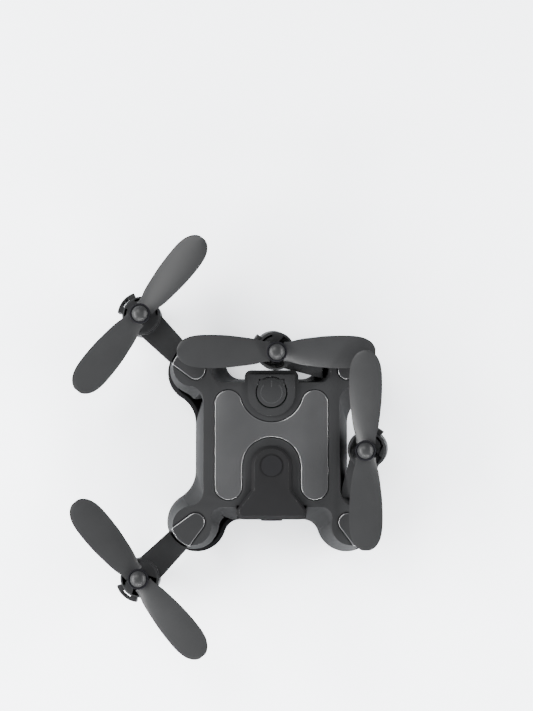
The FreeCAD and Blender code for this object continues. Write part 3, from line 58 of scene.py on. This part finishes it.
MM = 0.001
JOINTS = {joint["name"]: joint for joint in frame["record"]["behaviour"]["joints"]}
HUB_COLLAR_HEIGHT = 1.3 * MM
GROOVE_COUNT = 6
GROOVE_PITCH = 1.3 * MM
GROOVE_START = 3.0 * MM
CONTACT_COUNT = 5
CONTACT_PITCH = 0.75 * MM
SIGN_RING_SHARE = 0.72
CORNERS = ("rear_left", "rear_right", "front_right", "front_left")


# ------------------------------------------------------------------ settings

class QuadFinish(bpy.types.PropertyGroup):
    """Colours and gloss of the quadcopter's materials"""

    shell: FloatVectorProperty(
        name="Shell", description="Colour of the moulded shells and arms", subtype="COLOR",
        size=3, min=0, max=1, default=(0.0125, 0.0127, 0.0131))
    panel: FloatVectorProperty(
        name="Panel", description="Colour of the inlaid top panel", subtype="COLOR",
        size=3, min=0, max=1, default=(0.0190, 0.0192, 0.0198))
    nose: FloatVectorProperty(
        name="Nose", description="Colour of the camera housing", subtype="COLOR",
        size=3, min=0, max=1, default=(0.0080, 0.0080, 0.0083))
    rotor: FloatVectorProperty(
        name="Propeller", description="Colour of the propellers", subtype="COLOR",
        size=3, min=0, max=1, default=(0.0125, 0.0127, 0.0131))
    shell_roughness: FloatProperty(
        name="Shell roughness", description="Roughness of the satin moulded plastic",
        subtype="FACTOR", min=0, max=1, default=0.46)
    grain: FloatProperty(
        name="Grain", description="Size of the spark-eroded grain of the moulded plastic",
        subtype="DISTANCE", unit="LENGTH", default=0.09 * MM)


class QuadStage(bpy.types.PropertyGroup):
    """Camera, floor and lights"""

    distance: FloatProperty(
        name="Distance", description="Camera to the propeller plane", subtype="DISTANCE",
        unit="LENGTH", default=0.46)
    elevation: FloatProperty(
        name="Elevation", description="Height of the camera above the horizon, in degrees",
        min=0, max=90, default=85.5)
    view_height: FloatProperty(
        name="View height", description="Height of the view at the propeller plane",
        subtype="DISTANCE", unit="LENGTH", default=196.5 * MM)
    floor_colour: FloatVectorProperty(
        name="Floor", description="Colour of the floor", subtype="COLOR",
        size=3, min=0, max=1, default=(0.86, 0.88, 0.91))


# ------------------------------------------------------------------ mesh tools

def deselect():
    if bpy.context.mode != "OBJECT":
        bpy.ops.object.mode_set(mode="OBJECT")
    bpy.ops.object.select_all(action="DESELECT")


def edit(piece):
    deselect()
    piece.select_set(True)
    bpy.context.view_layer.objects.active = piece
    bpy.ops.object.mode_set(mode="EDIT")


def finish_edit():
    bpy.ops.object.mode_set(mode="OBJECT")


def apply_modifier(piece, modifier):
    deselect()
    piece.select_set(True)
    bpy.context.view_layer.objects.active = piece
    bpy.ops.object.modifier_apply(modifier=modifier.name)


def softened_copy(node, name, width, angle=28.0, segments=2, rim=False):
    """A copy of a CAD node whose sharp edges are rounded as a mould leaves them.

    With rim, the rounded edges take the piece's second material, which the callers give a lighter
    colour as a painted highlight."""
    source = frame["nodes"][node]
    deselect()
    source.select_set(True)
    bpy.context.view_layer.objects.active = source
    bpy.ops.object.duplicate()
    piece = bpy.context.active_object
    piece.name = name
    piece.data.name = name
    edit(piece)
    bpy.ops.mesh.select_all(action="SELECT")
    bpy.ops.mesh.remove_doubles(threshold=0.001 * MM)
    bpy.ops.mesh.dissolve_limited(angle_limit=math.radians(0.5))
    finish_edit()
    bevel = piece.modifiers.new("rounded edges", "BEVEL")
    bevel.width = width
    bevel.segments = segments
    bevel.limit_method = "ANGLE"
    bevel.angle_limit = math.radians(angle)
    if rim:
        piece.data.materials.clear()
        piece.data.materials.append(None)
        piece.data.materials.append(None)
        bevel.material = 1
    apply_modifier(piece, bevel)
    bpy.ops.object.shade_smooth_by_angle(angle=math.radians(40))
    return piece


def stand_for(piece, node, body):
    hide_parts(node)
    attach(piece, body)


def add_piece(piece, material, body):
    paint(piece, material)
    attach(piece, body)


def named(name):
    piece = bpy.context.active_object
    piece.name = name
    piece.data.name = name
    return piece


def settle(piece, place=None):
    """Moves a finished piece's place into its mesh, and leaves its object at the origin."""
    deselect()
    piece.select_set(True)
    bpy.context.view_layer.objects.active = piece
    if place is not None:
        piece.matrix_world = place @ piece.matrix_world
    bpy.ops.object.transform_apply(location=True, rotation=True, scale=True)
    edit(piece)
    bpy.ops.mesh.select_all(action="SELECT")
    bpy.ops.mesh.remove_doubles(threshold=0.0005 * MM)
    bpy.ops.mesh.normals_make_consistent(inside=False)
    finish_edit()
    bpy.ops.object.shade_smooth_by_angle(angle=math.radians(40))
    return piece


def flat_ring(name, radius, wire, flat, segments=72):
    """A ring about Z whose round section is pressed flat."""
    deselect()
    bpy.ops.mesh.primitive_torus_add(
        major_radius=radius, minor_radius=wire, major_segments=segments, minor_segments=12)
    piece = named(name)
    edit(piece)
    bpy.ops.mesh.select_all(action="SELECT")
    bpy.ops.transform.resize(value=(1, 1, flat))
    finish_edit()
    return piece


def soft_bar(name, size, centre, round_edge):
    """A small bar with rounded edges."""
    deselect()
    bpy.ops.mesh.primitive_cube_add(size=1.0, location=centre)
    piece = named(name)
    edit(piece)
    bpy.ops.mesh.select_all(action="SELECT")
    bpy.ops.transform.resize(value=size)
    finish_edit()
    bevel = piece.modifiers.new("rounded edges", "BEVEL")
    bevel.width = round_edge
    bevel.segments = 2
    apply_modifier(piece, bevel)
    return piece


def carve(piece, cutters):
    """Cuts the shapes out of the piece, and removes them."""
    deselect()
    for cutter in cutters:
        cutter.select_set(True)
    bpy.context.view_layer.objects.active = cutters[0]
    if len(cutters) > 1:
        bpy.ops.object.join()
    tool = bpy.context.active_object
    hollow = piece.modifiers.new("carved", "BOOLEAN")
    hollow.operation = "DIFFERENCE"
    hollow.solver = "EXACT"
    hollow.object = tool
    apply_modifier(piece, hollow)
    deselect()
    tool.select_set(True)
    bpy.ops.object.delete()


def joint_place(name):
    """The matrix that sets a piece made about Z on a joint's axis."""
    joint = JOINTS[name]
    turn = Vector((0, 0, 1)).rotation_difference(Vector(joint["axis"])).to_matrix().to_4x4()
    return Matrix.Translation(Vector(joint["pos_m"])) @ turn


# ------------------------------------------------------------------ materials

def new_material(name):
    material = bpy.data.materials.new(name)
    material.use_nodes = True
    tree = material.node_tree
    tree.nodes.clear()
    output = tree.nodes.new("ShaderNodeOutputMaterial")
    shader = tree.nodes.new("ShaderNodeBsdfPrincipled")
    tree.links.new(shader.outputs["BSDF"], output.inputs["Surface"])
    return material, tree, shader


def moulded(name, colour, roughness, grain=0.09 * MM, depth=0.004 * MM, variation=0.10,
            shine=0.008, gloss_spread=0.05):
    """Moulded plastic: a fine eroded grain, with slow changes of tone and gloss."""
    material, tree, shader = new_material(name)
    shader.inputs["Specular IOR Level"].default_value = shine
    nodes = tree.nodes
    links = tree.links
    place = nodes.new("ShaderNodeTexCoord")
    fine = nodes.new("ShaderNodeTexNoise")
    fine.inputs["Scale"].default_value = 1.0 / grain
    fine.inputs["Detail"].default_value = 3.0
    broad = nodes.new("ShaderNodeTexNoise")
    broad.inputs["Scale"].default_value = 140.0
    broad.inputs["Detail"].default_value = 4.0
    tone = nodes.new("ShaderNodeMix")
    tone.data_type = "RGBA"
    darker = [channel * (1.0 - variation) for channel in colour]
    lighter = [channel * (1.0 + variation) for channel in colour]
    tone.inputs["A"].default_value = (*darker, 1.0)
    tone.inputs["B"].default_value = (*lighter, 1.0)
    gloss = nodes.new("ShaderNodeMapRange")
    gloss.inputs["To Min"].default_value = roughness - gloss_spread
    gloss.inputs["To Max"].default_value = roughness + gloss_spread
    bump = nodes.new("ShaderNodeBump")
    bump.inputs["Strength"].default_value = 0.35
    bump.inputs["Distance"].default_value = depth
    links.new(place.outputs["Object"], fine.inputs["Vector"])
    links.new(place.outputs["Object"], broad.inputs["Vector"])
    links.new(broad.outputs["Fac"], tone.inputs["Factor"])
    links.new(tone.outputs["Result"], shader.inputs["Base Color"])
    links.new(broad.outputs["Fac"], gloss.inputs["Value"])
    links.new(gloss.outputs["Result"], shader.inputs["Roughness"])
    links.new(fine.outputs["Fac"], bump.inputs["Height"])
    links.new(bump.outputs["Normal"], shader.inputs["Normal"])
    return material


def metal(name, colour, roughness):
    """Drawn or turned metal with a fine noise of tool marks in its roughness."""
    material, tree, shader = new_material(name)
    nodes = tree.nodes
    links = tree.links
    place = nodes.new("ShaderNodeTexCoord")
    marks = nodes.new("ShaderNodeTexNoise")
    marks.inputs["Scale"].default_value = 6000.0
    marks.inputs["Detail"].default_value = 2.0
    tone = nodes.new("ShaderNodeMapRange")
    tone.inputs["To Min"].default_value = roughness - 0.06
    tone.inputs["To Max"].default_value = roughness + 0.08
    shader.inputs["Base Color"].default_value = (*colour, 1.0)
    shader.inputs["Metallic"].default_value = 1.0
    links.new(place.outputs["Object"], marks.inputs["Vector"])
    links.new(marks.outputs["Fac"], tone.inputs["Value"])
    links.new(tone.outputs["Result"], shader.inputs["Roughness"])
    return material


def paint(piece, material, rim=None):
    if rim is None:
        piece.data.materials.clear()
        piece.data.materials.append(material)
    else:
        piece.data.materials[0] = material
        piece.data.materials[1] = rim


def paint_node(node, material):
    for slot in frame["nodes"][node].material_slots:
        slot.material = material


# ------------------------------------------------------------------ operators

class QUAD_OT_stage(bpy.types.Operator):
    """Sets up the floor, the lights and the camera"""

    bl_idname = "quad.stage"
    bl_label = "Stage"

    def execute(self, context):
        stage = context.scene.quad_stage
        deselect()
        bpy.ops.mesh.primitive_plane_add(size=4.0, location=(0, 0, -0.05 * MM))
        floor = context.active_object
        floor.name = "floor"
        material, tree, shader = new_material("floor")
        shader.inputs["Base Color"].default_value = (*stage.floor_colour, 1.0)
        shader.inputs["Roughness"].default_value = 0.9
        shader.inputs["Emission Color"].default_value = (0.95, 0.97, 1.0, 1.0)
        shader.inputs["Emission Strength"].default_value = 0.7
        paint(floor, material)
        world = bpy.data.worlds.new("studio")
        context.scene.world = world
        world.use_nodes = True
        sky = world.node_tree.nodes["Background"]
        sky.inputs["Color"].default_value = (0.95, 0.97, 1.0, 1.0)
        sky.inputs["Strength"].default_value = 0.7
        lights = (
            ("key", (-0.34, 0.40, 0.60), 0.40, 0.40, 9.0),
            ("left_strip", (-0.46, -0.05, 0.22), 0.60, 0.06, 13.0),
            ("right_strip", (0.46, 0.0, 0.22), 0.60, 0.06, 9.0),
            ("front_strip", (0.0, -0.46, 0.20), 0.60, 0.06, 9.0),
        )
        for name, place, length, width, power in lights:
            deselect()
            bpy.ops.object.light_add(type="AREA", location=place)
            light = context.active_object
            light.name = name
            light.data.shape = "RECTANGLE"
            light.data.size = length
            light.data.size_y = width
            light.data.energy = power
            aim = Vector((0, 0, 0.01)) - light.location
            light.rotation_euler = aim.to_track_quat("-Z", "Y").to_euler()
        rise = math.radians(stage.elevation)
        plane = Vector((-1.4 * MM, 24.9 * MM, 22.0 * MM))
        back = Vector((0, -math.cos(rise), math.sin(rise)))
        deselect()
        bpy.ops.object.camera_add(location=plane + back * stage.distance)
        camera = context.active_object
        camera.name = "camera"
        camera.rotation_euler = (-back).to_track_quat("-Z", "Y").to_euler()
        camera.data.sensor_width = 36.0
        camera.data.lens = 36.0 * stage.distance / stage.view_height
        camera.data.clip_start = 0.01
        context.scene.camera = camera
        return {"FINISHED"}


class QUAD_OT_shells(bpy.types.Operator):
    """Rounds the moulded edges of the shells and what is set in them"""

    bl_idname = "quad.shells"
    bl_label = "Shells"

    def execute(self, context):
        finish = context.scene.quad_finish
        shell = moulded("shell_plastic", finish.shell, finish.shell_roughness, finish.grain)
        panel = moulded("panel_plastic", finish.panel, 0.30, finish.grain, shine=0.25)
        # painted shade: the bottom shell and battery hatch are darker than the top shell, so the
        # ledge seen through the arm slots reads as the black slot shadow
        lower = moulded("lower_plastic", (0.008, 0.008, 0.0085), 0.5, finish.grain)
        nose = moulded("nose_plastic", finish.nose, 0.5, finish.grain)
        # painted highlight: a lighter, glossier copy of the panel colour on the rounded edges of the
        # panel and hinge covers, standing in for bright edge lines
        painted_highlight = moulded("painted_highlight_edge", [1.6 * channel for channel in finish.panel], 0.14,
                            finish.grain, depth=0.001 * MM, shine=1.0)
        # painted sheen: a lighter copy of the shell colour on the rounded edges of the top shell and
        # nose housing, standing in for light edge lines
        painted_sheen = moulded("painted_sheen_edge", [1.4 * channel for channel in finish.shell], 0.28,
                        finish.grain, depth=0.001 * MM, shine=0.35)
        for node, width, material, slot in (
            ("top_shell", 0.26 * MM, shell, "shell_plastic"),
            ("nose_housing", 0.60 * MM, nose, "nose_plastic"),
        ):
            piece = softened_copy(node, node + "_moulded", width, rim=True, segments=3)
            paint(piece, material, painted_sheen)
            stand_for(piece, node, "airframe")
        soft = (
            ("bottom_shell", 0.22 * MM, lower, "lower_plastic"),
            ("battery_cover", 0.12 * MM, lower, "lower_plastic"),
        )
        for node, width, material, slot in soft:
            piece = softened_copy(node, node + "_moulded", width)
            if node == "battery_cover":
                self.finger_grooves(piece)
            paint(piece, material)
            stand_for(piece, node, "airframe")
        inlay = softened_copy("top_panel", "top_panel_moulded", 0.25 * MM, rim=True, segments=3)
        paint(inlay, panel, painted_highlight)
        stand_for(inlay, "top_panel", "airframe")
        for corner in CORNERS:
            piece = softened_copy("hinge_cover_" + corner, "hinge_cover_moulded_" + corner,
                                  0.26 * MM, rim=True, segments=3)
            paint(piece, shell, painted_highlight)
            stand_for(piece, "hinge_cover_" + corner, "airframe")
        button = softened_copy("power_button", "power_button_moulded", 0.14 * MM)
        paint(button, shell)
        stand_for(button, "power_button", "button")
        return {"FINISHED"}

    def finger_grooves(self, hatch):
        """Shallow cross grooves for the thumb that slides the battery hatch."""
        low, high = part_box("battery_cover")
        cutters = []
        for index in range(GROOVE_COUNT):
            along = high[1] - GROOVE_START - GROOVE_PITCH * index
            cutters.append(soft_bar("groove_%d" % index, (9.0 * MM, 0.6 * MM, 0.5 * MM),
                                    ((low[0] + high[0]) / 2, along, low[2]), 0.1 * MM))
        carve(hatch, cutters)
        deselect()
        hatch.select_set(True)
        bpy.context.view_layer.objects.active = hatch
        bpy.ops.object.shade_smooth_by_angle(angle=math.radians(40))


class QUAD_OT_arms(bpy.types.Operator):
    """Rounds the moulded edges of the arms and motor caps"""

    bl_idname = "quad.arms"
    bl_label = "Arms"

    def execute(self, context):
        finish = context.scene.quad_finish
        plastic = moulded("arm_plastic", finish.shell, finish.shell_roughness, finish.grain)
        # painted sheen: a lighter copy of the shell colour on the arms' rounded edges, standing in
        # for a bright edge line
        painted_sheen = moulded("arm_painted_sheen_edge", [1.6 * channel for channel in finish.shell], 0.26,
                        finish.grain, depth=0.001 * MM, shine=0.5)
        cap_plastic = moulded("cap_plastic", finish.shell, 0.42, finish.grain)
        rubber = moulded("foot_rubber", (0.02, 0.02, 0.02), 0.75, finish.grain)
        for corner in CORNERS:
            body = "arm_" + corner
            arm = softened_copy(body, body + "_moulded", 0.40 * MM, rim=True, segments=3)
            paint(arm, plastic, painted_sheen)
            stand_for(arm, body, body)
            for node, width, material, slot in (
                ("motor_cap_" + corner, 0.10 * MM, cap_plastic, "motor_cap"),
                ("arm_cover_" + corner, 0.12 * MM, plastic, "arm_plastic"),
                ("foot_" + corner, 0.15 * MM, rubber, "foot_rubber"),
            ):
                piece = softened_copy(node, node + "_moulded", width)
                paint(piece, material)
                stand_for(piece, node, body)
        return {"FINISHED"}


class QUAD_OT_rotors(bpy.types.Operator):
    """Rounds the propellers' edges and adds a near-black collar round each hub, painted shade for the
    dark rim of the hub dome
    """

    bl_idname = "quad.rotors"
    bl_label = "Rotors"

    def execute(self, context):
        finish = context.scene.quad_finish
        plastic = moulded("rotor_plastic", finish.rotor, 0.38, finish.grain, shine=0.12)
        # painted shade: the collar is near black so the hub dome gets a dark rim
        black = moulded("hub_painted_shade_black", (0.006, 0.006, 0.007), 0.5, finish.grain)
        for corner in CORNERS:
            node = "propeller_" + corner
            piece = softened_copy(node, node + "_moulded", 0.07 * MM, angle=50.0, segments=2)
            paint(piece, plastic)
            stand_for(piece, node, "rotor_" + corner)
            collar = flat_ring("hub_collar_" + corner, 2.55 * MM, 0.28 * MM, 0.8, segments=48)
            collar.location.z = HUB_COLLAR_HEIGHT
            settle(collar, joint_place("spin_" + corner))
            add_piece(collar, black, "rotor_" + corner)
        return {"FINISHED"}


class QUAD_OT_details(bpy.types.Operator):
    """Adds the power sign, the lens, the charging contacts and the tread of the feet"""

    bl_idname = "quad.details"
    bl_label = "Details"

    def execute(self, context):
        finish = context.scene.quad_finish
        self.power_sign(finish)
        self.lens(finish)
        self.charging_contacts()
        self.foot_tread(finish)
        return {"FINISHED"}

    def power_sign(self, finish):
        """A thin raised ring, open at its top, with a bar in the gap."""
        tint = [channel * 1.5 for channel in finish.shell]
        pale = moulded("sign_grey", tint, 0.5, finish.grain)
        low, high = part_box("power_button")
        radius = (high[0] - low[0]) / 2
        centre = Vector(((low[0] + high[0]) / 2, low[1] + radius, high[2] - 0.01 * MM))
        ring = flat_ring("power_sign_ring", SIGN_RING_SHARE * radius, 0.15 * MM, 0.4)
        gap = soft_bar("gap", (radius, radius, MM), (0, 0.9 * radius, 0), 0.02 * MM)
        carve(ring, [gap])
        ring.location = centre
        settle(ring)
        add_piece(ring, pale, "button")
        bar = soft_bar("power_sign_bar", (0.3 * MM, 0.5 * radius, 0.1 * MM),
                       centre + Vector((0, 0.6 * radius, 0)), 0.03 * MM)
        settle(bar)
        add_piece(bar, pale, "button")

    def lens(self, finish):
        """A domed front glass in a stepped black bezel."""
        glass, tree, shader = new_material("lens_coating")
        place = tree.nodes.new("ShaderNodeTexCoord")
        spread = tree.nodes.new("ShaderNodeTexNoise")
        spread.inputs["Scale"].default_value = 260.0
        tint = tree.nodes.new("ShaderNodeValToRGB")
        tint.color_ramp.elements[0].color = (0.010, 0.012, 0.035, 1.0)
        tint.color_ramp.elements[1].color = (0.030, 0.008, 0.040, 1.0)
        tree.links.new(place.outputs["Object"], spread.inputs["Vector"])
        tree.links.new(spread.outputs["Fac"], tint.inputs["Fac"])
        tree.links.new(tint.outputs["Color"], shader.inputs["Base Color"])
        shader.inputs["Roughness"].default_value = 0.03
        shader.inputs["Coat Weight"].default_value = 1.0
        low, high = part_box("lens_glass")
        centre = Vector(((low[0] + high[0]) / 2, high[1], (low[2] + high[2]) / 2))
        radius = (high[0] - low[0]) / 2
        thickness = high[1] - low[1]
        deselect()
        bpy.ops.mesh.primitive_uv_sphere_add(segments=64, ring_count=32, radius=radius)
        dome = named("lens_dome")
        edit(dome)
        bpy.ops.mesh.select_all(action="SELECT")
        bpy.ops.mesh.bisect(plane_co=(0, 0, 0), plane_no=(0, 1, 0), use_fill=True, clear_outer=True)
        bpy.ops.mesh.select_all(action="SELECT")
        bpy.ops.transform.resize(value=(1, thickness / radius, 1), center_override=(0, 0, 0))
        finish_edit()
        dome.location = centre
        settle(dome)
        paint(dome, glass)
        stand_for(dome, "lens_glass", "airframe")
        black = moulded("bezel_black", (0.008, 0.008, 0.009), 0.3, finish.grain)
        low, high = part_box("lens_barrel")
        turn = Matrix.Rotation(math.radians(90), 4, "X")
        for index, (share, wire) in enumerate(((0.80, 0.16 * MM), (0.93, 0.12 * MM))):
            ring = flat_ring("lens_bezel_%d" % (index + 1), share * (high[0] - low[0]) / 2, wire, 1.0)
            front = Vector((centre.x, low[1] + 0.12 * MM + 0.05 * MM * index, centre.z))
            settle(ring, Matrix.Translation(front) @ turn)
            add_piece(ring, black, "airframe")

    def charging_contacts(self):
        """The socket's tongue with its row of contacts."""
        gold = metal("contact_gold", (0.83, 0.60, 0.25), 0.3)
        black = moulded("tongue_black", (0.012, 0.012, 0.013), 0.4)
        low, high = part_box("charging_port")
        middle = (low[0] + high[0]) / 2
        height = (low[2] + high[2]) / 2
        tongue = soft_bar("port_tongue", (4.4 * MM, 2.6 * MM, 0.5 * MM),
                          (middle, high[1] - 2.0 * MM, height), 0.1 * MM)
        settle(tongue)
        add_piece(tongue, black, "airframe")
        for index in range(CONTACT_COUNT):
            along = middle + (index - (CONTACT_COUNT - 1) / 2) * CONTACT_PITCH
            strip = soft_bar("port_contact_%d" % (index + 1), (0.36 * MM, 2.2 * MM, 0.10 * MM),
                             (along, high[1] - 2.0 * MM, height - 0.26 * MM), 0.02 * MM)
            settle(strip)
            add_piece(strip, gold, "airframe")

    def foot_tread(self, finish):
        """Two low rings on the sole of each foot."""
        rubber = moulded("tread_rubber", (0.018, 0.018, 0.018), 0.8, finish.grain)
        for corner in CORNERS:
            place = self.sole(corner)
            for index, radius in enumerate((1.0 * MM, 1.9 * MM)):
                ring = flat_ring("foot_tread_%s_%d" % (corner, index + 1), radius, 0.16 * MM, 1.0, 40)
                settle(ring, place)
                add_piece(ring, rubber, "arm_" + corner)

    def sole(self, corner):
        """The middle of the foot's lowest face, square to the motor's axis."""
        joint = JOINTS["spin_" + corner]
        axis = Vector(joint["axis"])
        origin = Vector(joint["pos_m"])
        mesh = frame["nodes"]["foot_" + corner].data
        lowest = min((vertex.co - origin).dot(axis) for vertex in mesh.vertices)
        turn = Vector((0, 0, 1)).rotation_difference(axis).to_matrix().to_4x4()
        return Matrix.Translation(origin + axis * lowest) @ turn


class QUAD_OT_materials(bpy.types.Operator):
    """Gives every remaining CAD node its finish"""

    bl_idname = "quad.materials"
    bl_label = "Materials"

    def execute(self, context):
        finish = context.scene.quad_finish
        steel = metal("steel", (0.55, 0.55, 0.56), 0.28)
        can = metal("motor_can", (0.62, 0.62, 0.63), 0.32)
        dark_steel = metal("dark_steel", (0.08, 0.08, 0.085), 0.35)
        black = moulded("lens_plastic", (0.012, 0.012, 0.013), 0.22)
        smoked = moulded("lamp_plastic", (0.008, 0.008, 0.0085), 0.3)
        board = moulded("circuit_board", (0.015, 0.08, 0.045), 0.35)
        film = moulded("cell_film", (0.45, 0.47, 0.50), 0.3)
        amber = moulded("ribbon", (0.42, 0.18, 0.03), 0.35)
        glass, tree, shader = new_material("lens_glass")
        shader.inputs["Base Color"].default_value = (0.02, 0.022, 0.03, 1.0)
        shader.inputs["Roughness"].default_value = 0.04
        shader.inputs["Coat Weight"].default_value = 1.0
        finishes = {
            "steel": steel, "motor_can": can, "screw_steel": dark_steel,
            "lens_plastic": black, "lamp_plastic": smoked, "circuit_board": board,
            "cell_foil": film, "ribbon": amber, "lens_glass": glass, "chip_plastic": black,
            "port_metal": steel,
        }
        for part in frame["record"]["subparts"]:
            if part["material_slot"] in finishes:
                paint_node(part["node"], finishes[part["material_slot"]])
        return {"FINISHED"}


class QUAD_PT_panel(bpy.types.Panel):
    """Lists the quadcopter's steps and settings"""

    bl_idname = "QUAD_PT_panel"
    bl_label = "Quadcopter"
    bl_space_type = "VIEW_3D"
    bl_region_type = "UI"
    bl_category = "Quadcopter"

    def draw(self, context):
        layout = self.layout
        for step in STEPS:
            layout.operator(step.bl_idname)
        for group in (context.scene.quad_finish, context.scene.quad_stage):
            for name in group.__annotations__:
                layout.prop(group, name)


STEPS = (QUAD_OT_stage, QUAD_OT_shells, QUAD_OT_arms, QUAD_OT_rotors, QUAD_OT_details,
         QUAD_OT_materials)
CLASSES = (QuadFinish, QuadStage) + STEPS + (QUAD_PT_panel,)


def register():
    for cls in CLASSES:
        bpy.utils.register_class(cls)
    bpy.types.Scene.quad_finish = PointerProperty(type=QuadFinish)
    bpy.types.Scene.quad_stage = PointerProperty(type=QuadStage)


def unregister():
    del bpy.types.Scene.quad_stage
    del bpy.types.Scene.quad_finish
    for cls in reversed(CLASSES):
        bpy.utils.unregister_class(cls)


def main():
    register()
    bpy.ops.quad.stage()
    bpy.ops.quad.shells()
    bpy.ops.quad.arms()
    bpy.ops.quad.rotors()
    bpy.ops.quad.details()
    bpy.ops.quad.materials()


if __name__ == "__main__":
    main()
